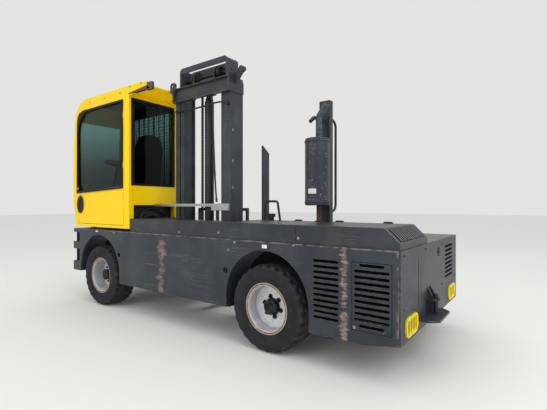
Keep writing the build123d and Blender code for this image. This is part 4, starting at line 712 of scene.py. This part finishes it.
for body, centre, row, hand, outward in wheels:
    shape = bmesh.new()
    for shoulder in (-1, 1):
        for count in range(LUG_COUNT):
            middle_angle = math.tau * (count + 0.25 * shoulder) / LUG_COUNT
            rings = []
            for turn, sunk in LUG_STATIONS:
                ring = []
                for across, below in LUG_SECTION:
                    lean = LUG_SKEW * (across - 0.078) / 0.085 * outward
                    a = middle_angle + turn * LUG_HALF_ANGLE + lean
                    r = tyre_radius - below - (sunk if across < 0.155 else sunk * 0.5)
                    y = centre.y + shoulder * (across if across < 0.155 else across - sunk * 0.6)
                    ring.append((centre.x + r * math.cos(a), y, centre.z + r * math.sin(a)))
                rings.append(ring)
            add_rings(shape, rings)
    for shoulder in (-1, 1):
        add_turned(shape, centre, (0, shoulder, 0), from_bead(BEAD_SECTION), sides=72, closed=True)
    finish_shape(shape, f"lugs_{row}_{hand}", f"{row} tyre rubber", body, 28)
    back = DISC_FACE[row]
    liner = (*LINER_SECTION, (back + 0.010, -0.036), (back, -0.030), (back, -0.012), (0.137, -0.010))
    shape = bmesh.new()
    add_turned(shape, centre, (0, outward, 0), from_bead(liner), sides=72, closed=True)
    finish_shape(shape, f"rim_liner_{row}_{hand}", f"{row} silver rim paint", body, 28)

# %% [markdown]
# ## Wheel fastenings
# The rear wheels are bolted to their hubs with six large nuts inside a deep dish, and a cast cap closes the
# bearing. The driven front wheels have a deeper dish, with a ring of nuts and a flange of smaller bolts.

# %% Nuts, caps and valves
WHEEL_PARTS = {
    # row: (nut circle, nuts, nut size, hub circle, hub bolts)
    "front": (0.128, 10, 0.015, 0.056, 12),
    "rear": (0.103, 6, 0.017, 0.058, 6),
}
HUB_BOLT = 0.006
CAP = ((-0.046, 0.078), (0.003, 0.077), (0.007, 0.071), (0.008, 0.044), (0.016, 0.038), (0.018, 0.012))
BOSS = ((0.0, 0.088), (0.010, 0.086), (0.014, 0.080), (0.016, 0.078))
VALVE = ((-0.002, 0.013), (0.003, 0.013), (0.004, 0.006), (0.030, 0.005), (0.031, 0.003))
VALVE_CIRCLE, VALVE_ANGLE = 0.185, 2.2
for body, centre, row, hand, outward in wheels:
    circle, nuts, size, hub_circle, hub_bolts = WHEEL_PARTS[row]
    washer = ((-0.001, size * 1.5), (0.004, size * 1.45), (0.0045, size))
    stud = ((0.006, size * 0.6), (0.030, size * 0.6), (0.033, size * 0.4))
    axis = Vector((0, outward, 0))
    disc_face = centre + axis * DISC_FACE[row]
    hub_face = centre + axis * 0.0705
    shape = bmesh.new()
    add_turned(shape, hub_face, axis, CAP, 32)
    add_turned(shape, disc_face, axis, BOSS, 40)
    for ring_face, radius, count, bolt in (
        (disc_face, circle, nuts, size), (hub_face + axis * 0.006, hub_circle, hub_bolts, HUB_BOLT)
    ):
        for step in range(count):
            a = math.tau * (step + 0.25) / count
            place = ring_face + Vector((radius * math.cos(a), 0, radius * math.sin(a)))
            add_bolt(shape, place, axis, bolt)
            if bolt == size:
                add_turned(shape, place, axis, washer, 20)
                add_turned(shape, place, axis, stud, 12)
    finish_shape(shape, f"wheel_nuts_{row}_{hand}", "dark hub iron", body)
    valve = disc_face + VALVE_CIRCLE * Vector((math.cos(VALVE_ANGLE), 0, math.sin(VALVE_ANGLE)))
    make_piece(
        add_turned, [(valve, axis, VALVE, 12)], f"valve_{row}_{hand}", "galvanised bolt steel", body
    )

# %% [markdown]
# ## Bolts, plates and painted shade on the frame
# The left side has an access panel with flat screws, small plated bolts along its top flange, and quarter-turn
# screws that hold the hood. Behind the cooling slots stand black sheets of painted shade, so the slots look
# deep. Label plates are blank.

# %% Left side plate
PANEL = ((-2.428, 0.415), (-2.085, 0.415), (-2.085, 0.985), (-2.428, 0.985))
INSET = ((0.004, 0.004), (-0.004, 0.004), (-0.004, -0.004), (0.004, -0.004))
panel_inner = [(x + dx, z + dz) for (x, z), (dx, dz) in zip(PANEL, INSET)]
make_piece(
    add_seal, [(TO_LEFT, side_y - 0.0005, panel_inner, PANEL, 0.001)], "access_panel_edge", "black joint fill and painted shade"
)

SIDE_BOLTS = (
    # along, height, head radius
    (-2.110, 0.438, 0.009), (-0.772, 1.067, 0.010), (-1.505, 1.078, 0.006), (1.484, 1.068, 0.011),
    (0.427, 0.979, 0.008), (-0.685, 0.982, 0.008),
)
shape = bmesh.new()
for along, height, radius in SIDE_BOLTS:
    washer = ((-0.001, radius * 1.5), (0.002, radius * 1.45), (0.003, radius))
    add_turned(shape, (along, side_y, height), TO_LEFT, washer, 20)
    add_bolt(shape, (along, side_y + 0.002, height), TO_LEFT, radius)
finish_shape(shape, "side_bolts", "galvanised bolt steel")

SCREW = ((-0.001, 0.008), (0.002, 0.008), (0.004, 0.005))
screws = [(along, side_y, height) for along, height in ((-2.110, 0.961), (-2.407, 0.962), (-2.405, 0.438))]
make_piece(add_turned, [(place, TO_LEFT, SCREW, 20) for place in screws], "panel_screws", "anthracite plate")

shape = bmesh.new()
for along, height, width, tall in ((1.935, 1.071, 0.055, 0.020), (-1.164, 1.048, 0.060, 0.035)):
    add_block(
        shape, (along - width / 2, along + width / 2), (side_y - 0.001, side_y + 0.0012),
        (height - tall / 2, height + tall / 2), 0.0005,
    )
finish_shape(shape, "blank_labels", "white label film")

# %% Quarter-turn screws that hold the hood
hood_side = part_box("hood_cover_front")[1].y
HOOD_SCREWS = (
    # along, height, body, name
    (0.123, 1.132, "chassis", "hood_screw_front"),
    (-0.520, 1.154, "chassis", "hood_screw_middle"),
    (-1.545, 1.147, "engine_hood", "hood_screw_lid"),
)
CUP = ((-0.001, 0.013), (0.002, 0.013), (0.003, 0.010))
for along, height, body, name in HOOD_SCREWS:
    shape = bmesh.new()
    add_turned(shape, (along, hood_side, height), TO_LEFT, CUP, 24)
    add_bolt(shape, (along, hood_side + 0.002, height), TO_LEFT, 0.008)
    finish_shape(shape, name, "galvanised bolt steel", body)

# %% Black sheets of painted shade behind the slots and the rear vents, and the rear wall's dark seam
SHADE_AND_SEAM_BLOCKS = {
    # name: along, across, height, chamfer of each block
    "slot_painted_shade": (
        ((-1.99, -1.70), (1.014, 1.022), (0.43, 1.00), 0.001),
        ((-2.43, -2.09), (1.014, 1.022), (0.43, 0.985), 0.001),
    ),
    "vent_painted_shade": (((rear_x + 0.0152, rear_x + 0.019), (-0.85, -0.43), (0.64, 1.03), 0.001),),
    "rear_seam": (((rear_x - 0.0008, rear_x + 0.001), (0.552, 0.557), (0.56, 1.00), 0.0003),),
}
for name, blocks in SHADE_AND_SEAM_BLOCKS.items():
    make_piece(add_block, blocks, name, "black joint fill and painted shade")

# %% Black sheet of painted shade under the sloped grille
lid_low, lid_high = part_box("hood_lid")
slope_low, slope_high = hood_z - 0.124, lid_low.x + 0.130
grille_shade_outline = (
    (lid_low.x + 0.016, slope_low - 0.012), (slope_high + 0.012, hood_z - 0.016),
    (slope_high + 0.020, hood_z - 0.022), (lid_low.x + 0.024, slope_low - 0.018),
)
grille_shade = (grille_shade_outline, lid_low.y + 0.03, lid_high.y - 0.02)
make_piece(add_prism, [grille_shade], "grille_painted_shade", "black joint fill and painted shade", "engine_hood")

# %% Rear wall: a filler cap and a bolt row
FILLER_CAP = ((-0.004, 0.034), (0.006, 0.034), (0.010, 0.030), (0.011, 0.012), (0.018, 0.010), (0.019, 0.004))
filler = ((rear_x + 0.004, -0.166, 0.978), TO_REAR, FILLER_CAP, 28)
make_piece(add_turned, [filler], "filler_cap", "black moulded plastic")
spots = [(rear_x, across, height) for across in (-0.95, -0.32, 0.32, 0.95) for height in (0.62, 1.05)]
bolts = [(spot, TO_REAR, 0.009) for spot in spots]
make_piece(add_bolt, bolts, "rear_bolts", "anthracite plate")

# %% [markdown]
# ## Hood fittings and exhaust
# Rubber sleeves cover the hood's hinges. The silencer is a rolled steel can with pressed beads at its ends, a
# clamp on its strap and a blank label. Its outlet is dark with soot, and its inlet bakes brown.

# %% Sleeves, silencer beads and label
SLEEVE = ((0, 0.006), (0.004, 0.013), (0.020, 0.016), (0.080, 0.016), (0.096, 0.013), (0.1, 0.006))
sleeves = [
    ((along - 0.050, lid_low.y + 0.009, hood_z), TO_FRONT, SLEEVE, 20) for along in (-2.105, -1.565, -1.035)
]
make_piece(add_turned, sleeves, "hinge_sleeves", "black window rubber")

can_low, can_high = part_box("muffler")
can_x, can_radius = (can_low.x + can_high.x) / 2, (can_high.x - can_low.x) / 2
can_y = can_high.y - can_radius
bead = [(0.008 * math.sin(a), can_radius + 0.003 + 0.005 * math.cos(a)) for a in round_angles(10)]
beads = [
    ((can_x, can_y, height), TO_TOP, bead, 48, True) for height in (can_low.z + 0.035, can_high.z - 0.035)
]
make_piece(add_turned, beads, "silencer_beads", "faded silencer paint")

LABEL_OUT, LABEL_LOW, LABEL_HIGH = can_radius + 0.0012, 1.577, 1.630
rings = [
    [
        (can_x + r * math.sin(a), can_y + r * math.cos(a), z)
        for r, z in (
            (can_radius, LABEL_LOW), (LABEL_OUT, LABEL_LOW), (LABEL_OUT, LABEL_HIGH), (can_radius, LABEL_HIGH)
        )
    ]
    for a in (math.radians(-24 + 4 * step) for step in range(11))
]
make_piece(add_rings, [(rings,)], "silencer_label", "white label film")

# %% Rubber end on the drain stub, and white specks where the silencer's paint has spat off
stub_x, stub_y = can_x + 0.050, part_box("exhaust_pipes")[1].y
stub = curve_through(
    [(stub_x, stub_y - 0.045, 2.422), (stub_x, stub_y - 0.005, 2.408), (stub_x, stub_y + 0.050, 2.366)]
)
make_piece(add_tube, [(stub, 0.021, 14)], "stub_end", "hose rubber")
SPECK_COUNT = 110
shape = bmesh.new()
for count in range(SPECK_COUNT):
    a = math.radians(random.uniform(-95, 60))
    z = can_low.z + 0.06 + 0.60 * random.random() ** 1.6
    size = random.uniform(0.0015, 0.0035)
    out = Vector((math.sin(a), math.cos(a), 0))
    place = Vector((can_x, can_y, z)) + out * (can_radius - 0.0003)
    add_turned(shape, place, out, ((0, size), (0.0008, size * 0.8)), 6)
finish_shape(shape, "silencer_specks", "white label film")

# %% Insert of the sloped grille: a black sheet of painted shade, and raised bars over it painted lighter as a highlight
GRILLE_BARS, GRILLE_EDGE = 12, 0.075
BAR_SECTION = ((-0.011, 0.0), (-0.008, 0.004), (0.008, 0.004), (0.011, 0.0))
slope_start = Vector((lid_low.x, 0, slope_low))
slope_run = Vector((slope_high, 0, hood_z)) - slope_start
slope_up = Vector((-slope_run.z, 0, slope_run.x)).normalized()
hood_wall_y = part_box("hood_cover_front")[0].y
bar_pitch = (hood_side - hood_wall_y - 2 * GRILLE_EDGE) / GRILLE_BARS


def on_slope(share, rise):
    """The (x, z) of a point on the slope: its share of the way up, and its rise above the plate."""
    spot = slope_start + slope_run * share + slope_up * rise
    return spot.x, spot.z


bar_shade_outline = [
    on_slope(share, rise) for share, rise in ((0.11, -0.0005), (0.89, -0.0005), (0.89, 0.0012), (0.11, 0.0012))
]
bar_shade = (bar_shade_outline, hood_wall_y + GRILLE_EDGE - 0.012, hood_side - GRILLE_EDGE + 0.012)
make_piece(add_prism, [bar_shade], "grille_insert_painted_shade", "black joint fill and painted shade", "engine_hood")
shape = bmesh.new()
for count in range(GRILLE_BARS):
    y = hood_wall_y + GRILLE_EDGE + (count + 0.5) * bar_pitch
    rings = []
    for share in (0.13, 0.87):
        spots = [(y + across, *on_slope(share, rise)) for across, rise in BAR_SECTION]
        rings.append([(spot_x, spot_y, spot_z) for spot_y, spot_x, spot_z in spots])
    add_rings(shape, rings)
finish_shape(shape, "grille_bars", "grille bar paint with painted highlight", "engine_hood")

# %% [markdown]
# ## Cab seals, handle and screws
# Each pane sits in a black rubber section that covers the sheet round it and rounds the corners. The door
# has a cast ring handle and a lock cap. The seals follow the panes' real outlines, so they fit in the frame.

# %% Seals round the door's pane and the rear pane
pane_low, pane_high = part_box("door_glass")
pane_mid = (pane_low + pane_high) / 2
left, right, top = pane_low.x, pane_high.x, pane_high.z
DOOR_INNER = (
    (left + 0.004, top - 0.004), (left + 0.004, 1.706), (right - 0.002, 1.664), (right - 0.002, 2.500),
    (right - 0.026, 2.655), (right - 0.083, 2.757), (right - 0.163, 2.834), (right - 0.280, top - 0.006),
)
DOOR_OUTER = (
    (left - 0.016, top + 0.024), (left - 0.016, 1.682), (right + 0.036, 1.634), (right + 0.030, 2.600),
    (right + 0.022, 2.740), (right + 0.004, 2.815), (right - 0.045, 2.865), (right - 0.150, top + 0.024),
)
REAR_INNER = ((0.325, 1.752), (0.950, 1.752), (0.950, 2.860), (0.325, 2.860))
REAR_OUTER = ((0.280, 1.722), (1.000, 1.722), (1.000, 2.905), (0.280, 2.905))
LIP = 0.014
lip_outer = [
    (x + math.copysign(LIP, x - pane_mid.x), z + math.copysign(LIP, z - pane_mid.z)) for x, z in DOOR_INNER
]
door_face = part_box("door_frame")[1].y
cab_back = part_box("cab_rear_wall")[0].x
cab_side_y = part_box("cab_left_frame")[1].y
lip_depth = door_face - pane_high.y - 0.006
RUBBER, PRINTED = "black window rubber", "black printed glass edge"
SEALS = (
    # name, finish, body, outward, foot, inner and outer outline, depth
    ("door_seal", PRINTED, "door", TO_LEFT, door_face - 0.001, DOOR_INNER, DOOR_OUTER, 0.007),
    ("door_pane_lip", RUBBER, "door", TO_LEFT, pane_high.y + 0.0005, DOOR_INNER, lip_outer, lip_depth),
    ("rear_pane_seal", RUBBER, "chassis", TO_REAR, cab_back + 0.001, REAR_INNER, REAR_OUTER, 0.008),
)
for name, finish, body, *seal in SEALS:
    shape = bmesh.new()
    add_seal(shape, *seal)
    finish_shape(shape, name, finish, body, 50)

# %% Recessed door handle and lock cap
HANDLE_X, HANDLE_Z = 2.412, 1.465
LOCK_X, LOCK_Z = 2.462, 1.708
DISH = ((-0.001, 1.0), (0.007, 1.0), (0.010, 0.95), (0.009, 0.86), (0.003, 0.78), (0.002, 0.30), (0.0021, 0.02))
LOCK_RING = ((0, 0.032), (0.006, 0.032), (0.009, 0.028), (0.010, 0.014))
LOCK_CAP = ((0, 0.017), (0.003, 0.017), (0.005, 0.012))
shape = bmesh.new()
rings = []
for lift, share in DISH:
    wide, tall = 0.088 * share, 0.135 * share
    rings.append(
        [
            (HANDLE_X + wide * math.cos(a), door_face + lift, HANDLE_Z + tall * math.sin(a))
            for a in round_angles(40)
        ]
    )
add_rings(shape, rings)
GRIP = ((0, 1.375), (0.016, 1.40), (0.020, 1.465), (0.016, 1.53), (0, 1.555))
grip = curve_through([(HANDLE_X, door_face + lift, height) for lift, height in GRIP])
add_tube(shape, grip, 0.009, 10)
add_turned(shape, (LOCK_X, door_face + 0.004, LOCK_Z), TO_LEFT, LOCK_RING, 28)
finish_shape(shape, "door_handle", "black moulded plastic", "door")
lock = ((LOCK_X, door_face + 0.013, LOCK_Z), TO_LEFT, LOCK_CAP, 24)
make_piece(add_turned, [lock], "door_lock_cap", "drawn aluminium", "door")
strap = curve_through([(x, 0.985, z) for x, z in ((2.475, 1.95), (2.44, 1.84), (2.37, 1.76), (2.29, 1.69))])
make_piece(add_tube, [(strap, 0.005, 8)], "door_strap", "lamp guard enamel", "door")

# %% Brown steel end and underside of the roof beam
beam_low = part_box("cab_left_frame")[0]
beam_inside, beam_outside = beam_low.y + 0.004, cab_side_y - 0.002
shape = bmesh.new()
add_block(shape, (beam_low.x - 0.110, beam_low.x + 0.002), (beam_inside, beam_outside), (2.925, 3.025), 0.008)
# The underside is the same dark brown as the beam's end, darker than the yellow cheek above it.
underside = ((beam_low.x - 0.08, 2.940), (cab_back, 2.941), (cab_back, 2.953), (beam_low.x, 2.988))
add_prism(shape, underside, beam_inside, beam_outside)
finish_shape(shape, "roof_beam_end", "dark brown steel")

# %% Screws on the roof beam and round the rear pane
BEAM_SCREWS = ((2.135, 2.995), (1.727, 2.987), (1.335, 2.992), (1.107, 3.035), (0.86, 3.035))
PANE_SCREWS = ((0.975, 1.655), (0.371, 1.655), (0.975, 2.955), (0.371, 2.955))
screws = [((along, cab_side_y, height), TO_LEFT, 0.010) for along, height in BEAM_SCREWS]
screws += [((cab_back, across, height), TO_REAR, 0.008) for across, height in PANE_SCREWS]
make_piece(add_bolt, screws, "cab_screws", "galvanised bolt steel")

# %% [markdown]
# ## Inside the cab
# What shows through the glass is a sprung seat, the console, a dark headlining and the mat. Below the rear
# pane, the floor well is crossed by hydraulic hoses, which are fixed pipes with no free end; behind them stands
# a black sheet of painted shade.

# %% Headlining, mat, levers and hose well
floor_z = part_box("cab_rear_wall")[0].z
TRIM = (
    # along, across, height, chamfer: headlining and its rear fold, mat, console, control box
    ((1.20, 2.24), (0.245, 0.975), (2.972, 2.994), 0.006),
    ((1.18, 2.26), (0.231, 0.243), (2.872, 2.990), 0.004),
    ((1.20, 2.38), (0.25, 0.97), (floor_z, floor_z + 0.012), 0.003),
    ((1.70, 2.20), (0.245, 0.300), (floor_z + 0.01, floor_z + 0.62), 0.020),
    ((2.04, 2.34), (0.315, 0.805), (floor_z + 0.44, floor_z + 0.56), 0.030),
)
make_piece(add_block, TRIM, "cab_trim", "black moulded plastic")
STICK = ((0.0, 0.275, 0.61), (0.01, 0.280, 0.72), (-0.01, 0.285, 0.82))
KNOB = ((-0.01, 0.008), (0.0, 0.015), (0.02, 0.017), (0.035, 0.010))
shape = bmesh.new()
for count in range(5):
    along = 1.80 + 0.075 * count
    stick = curve_through([(along + bend, across, floor_z + height) for bend, across, height in STICK])
    add_tube(shape, stick, 0.006, 8)
    add_turned(shape, stick[-1], TO_TOP, KNOB, 14)
finish_shape(shape, "control_levers", "black moulded plastic")
WELL_HOSES = (
    ((1.165, 0.93, 1.185), (1.20, 0.80, 1.26), (1.19, 0.62, 1.31), (1.20, 0.45, 1.24), (1.19, 0.33, 1.185)),
    ((1.19, 0.86, 1.185), (1.22, 0.74, 1.37), (1.21, 0.56, 1.40), (1.22, 0.40, 1.33), (1.21, 0.31, 1.185)),
    ((1.23, 0.78, 1.185), (1.21, 0.70, 1.30), (1.23, 0.52, 1.27), (1.21, 0.48, 1.185)),
)
shape = bmesh.new()
for route in WELL_HOSES:
    add_tube(shape, curve_through(route), 0.014, 12)
# A black sheet across the well, behind the hoses, is painted shade.
add_block(shape, (1.26, 1.272), (0.25, 0.97), (floor_z, floor_z + 0.33), 0.003)
finish_shape(shape, "floor_well_hoses_and_shade_sheet", "hose rubber")

# %% [markdown]
# ## Sprung seat
# The seat is a steel shell with two foam pads under woven cloth. Each pad starts as a slightly smaller block,
# is filled like a balloon by a short cloth run, and settles into the crowned form that foam has under a tight
# cover.


# %% Foam pads
def baked(piece):
    """The mesh that the piece's modifiers make, which are then taken off."""
    mesh = bpy.data.meshes.new_from_object(piece.evaluated_get(bpy.context.evaluated_depsgraph_get()))
    piece.modifiers.clear()
    return mesh


def foam_pad(name, corners_low, corners_high, lean, cap=0.026):
    """A padded cushion between two corners, leaning by lean (forward per height) and swollen by cloth."""
    shape = bmesh.new()
    add_block(shape, *zip(corners_low, corners_high), 0.018)
    for vertex in shape.verts:
        vertex.co.x += lean * (vertex.co.z - corners_low[2])
    pad = finish_shape(shape, name, "woven seat cloth", angle=80)
    remesh = pad.modifiers.new("even mesh", "REMESH")
    remesh.mode, remesh.voxel_size = "VOXEL", 0.006
    bpy.context.view_layer.update()
    pad.data = baked(pad)
    start = [vertex.co.copy() for vertex in pad.data.vertices]
    cloth = pad.modifiers.new("foam", "CLOTH")
    cloth.settings.use_pressure, cloth.settings.uniform_pressure_force = True, 4.0
    cloth.settings.effector_weights.gravity = 0.0
    for step in range(1, 21):
        bpy.context.scene.frame_set(step)
    pad.data = baked(pad)
    for vertex, first in zip(pad.data.vertices, start):
        shift = vertex.co - first
        if shift.length > cap:
            vertex.co = first + shift.normalized() * cap
    bpy.context.scene.frame_set(1)
    smooth = pad.modifiers.new("smooth cover", "SUBSURF")
    smooth.levels = smooth.render_levels = 1
    pad.data.shade_smooth()


seat_low, seat_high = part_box("seat")
seat_x, seat_mid = seat_low.x, (seat_low.y + seat_high.y) / 2
foam_pad("seat_cushion", (seat_x + 0.10, seat_mid - 0.205, 1.52), (seat_x + 0.52, seat_mid + 0.205, 1.60), 0.0)
foam_pad("seat_back", (seat_x + 0.165, seat_mid - 0.195, 1.66), (seat_x + 0.225, seat_mid + 0.195, 2.36), -0.13)

# %% Seat shell and suspension, which carry the pads
FOLD = 0.062
SHELL_BLOCKS = (
    # rear, front, half width, bottom, top, chamfer
    (0.10, 0.50, 0.19, floor_z, floor_z + 0.05, 0.01),
    *(
        (0.13, 0.47, 0.17, floor_z + 0.05 + FOLD * fold, floor_z + 0.098 + FOLD * fold, 0.018)
        for fold in range(4)
    ),
    (0.06, 0.53, 0.235, 1.465, 1.505, 0.016),
)
shape = bmesh.new()
for rear, front, half, bottom, top, chamfer in SHELL_BLOCKS:
    add_block(
        shape, (seat_x + rear, seat_x + front), (seat_mid - half, seat_mid + half), (bottom, top), chamfer
    )
back_rings = []
for step in range(13):
    across = -1 + step / 6
    drop = 0.20 * (1 - math.sqrt(max(0.0, 1 - abs(across) ** 2.6)))
    hollow = 0.030 * (1 - across**2)
    foot, head = 1.50 + 0.3 * drop, 2.475 - drop
    section = ((0.155, 0.0, foot), (0.175, 0.0, foot), (0.060, 0.13 * drop, head), (0.040, 0.13 * drop, head))
    back_rings.append(
        [(seat_x + ahead - hollow + bend, seat_mid + 0.235 * across, z) for ahead, bend, z in section]
    )
add_rings(shape, back_rings)
shell = finish_shape(shape, "seat_shell", "black moulded plastic")
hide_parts("seat")

# %% [markdown]
# ## Hoses across the mast
# Two hydraulic hoses cross the mast's near face between fixed clamps. They are real tubes with crimped ends,
# routed a little looser than the frame's plain sweeps.

# %% Mast hoses with clamps and crimped ends
hose_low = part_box("mast_hoses")[0]
hose_y = hose_low.y + 0.011
HOSES = (
    # along, height
    (
        (0.605, 2.701), (0.36, 2.693), (0.105, 2.697), (-0.06, 2.708), (-0.191, 2.707), (-0.30, 2.682),
        (-0.325, 2.655),
    ),
    ((-0.045, 2.812), (-0.060, 2.60), (-0.085, 2.10), (-0.110, 1.70), (-0.130, 1.49)),
)
CRIMP = ((0.0, 0.012), (0.002, 0.014), (0.05, 0.014), (0.052, 0.011))
shape = bmesh.new()
for route in HOSES:
    path = curve_through([(along, hose_y, height) for along, height in route], 8)
    add_tube(shape, path, 0.0105, 12)
    for end, inner in ((path[0], path[1]), (path[-1], path[-2])):
        add_turned(shape, end, inner - end, CRIMP, 14)
for along, height in ((0.605, 2.701), (-0.30, 2.682)):
    add_block(
        shape, (along - 0.022, along + 0.022), (hose_low.y - 0.003, hose_y + 0.013),
        (height - 0.018, height + 0.018), 0.004,
    )
hoses = finish_shape(shape, "mast_hose_runs", "hose rubber", "outer_mast")
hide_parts("mast_hoses")

# %% [markdown]
# ## Wire mesh on the far side guard
# The far window is guarded by welded mesh of about 25 mm. It is drawn at 50 mm, so that each wire still
# shows in the picture.

# %% Wire mesh
guard_low, guard_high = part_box("window_guard")
guard_size = guard_high - guard_low
WIRE, PITCH = 0.0046, 0.05
wire_y = guard_low.y + 0.004
wires = [
    ((guard_low.x + (count + 0.5) * PITCH, wire_y, guard_low.z), TO_TOP, ((0, WIRE), (guard_size.z, WIRE)), 6)
    for count in range(int(guard_size.x / PITCH))
]
wires += [
    ((guard_low.x, wire_y, guard_low.z + (count + 0.5) * PITCH), TO_FRONT, ((0, WIRE), (guard_size.x, WIRE)), 6)
    for count in range(int(guard_size.z / PITCH))
]
make_piece(add_turned, wires, "guard_mesh", "black satin paint")

# %% [markdown]
# ## Fastenings on the mast
# The mast's rear upright has three plated bolts, and the guide rail is bolted down along its length.

# %% Mast bolts
mast_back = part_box("outer_mast")[0].x + 0.157
MAST_BOLT_Y = 0.607
shape = bmesh.new()
for height in (2.356, 1.983, 1.666):
    washer = ((-0.002, 0.017), (0.003, 0.017), (0.004, 0.011))
    add_turned(shape, (mast_back, MAST_BOLT_Y, height), TO_REAR, washer, 24)
    add_bolt(shape, (mast_back - 0.003, MAST_BOLT_Y, height), TO_REAR, 0.011)
finish_shape(shape, "mast_bolts", "galvanised bolt steel", "outer_mast")
rail_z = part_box("guide_rail")[1].z
bolts = [((along, 0.660, rail_z - 0.0005), TO_TOP, 0.010) for along in (-0.181, 0.10, 0.38, 0.66, 0.94)]
make_piece(add_bolt, bolts, "rail_bolts", "dark hub iron", "outer_mast")
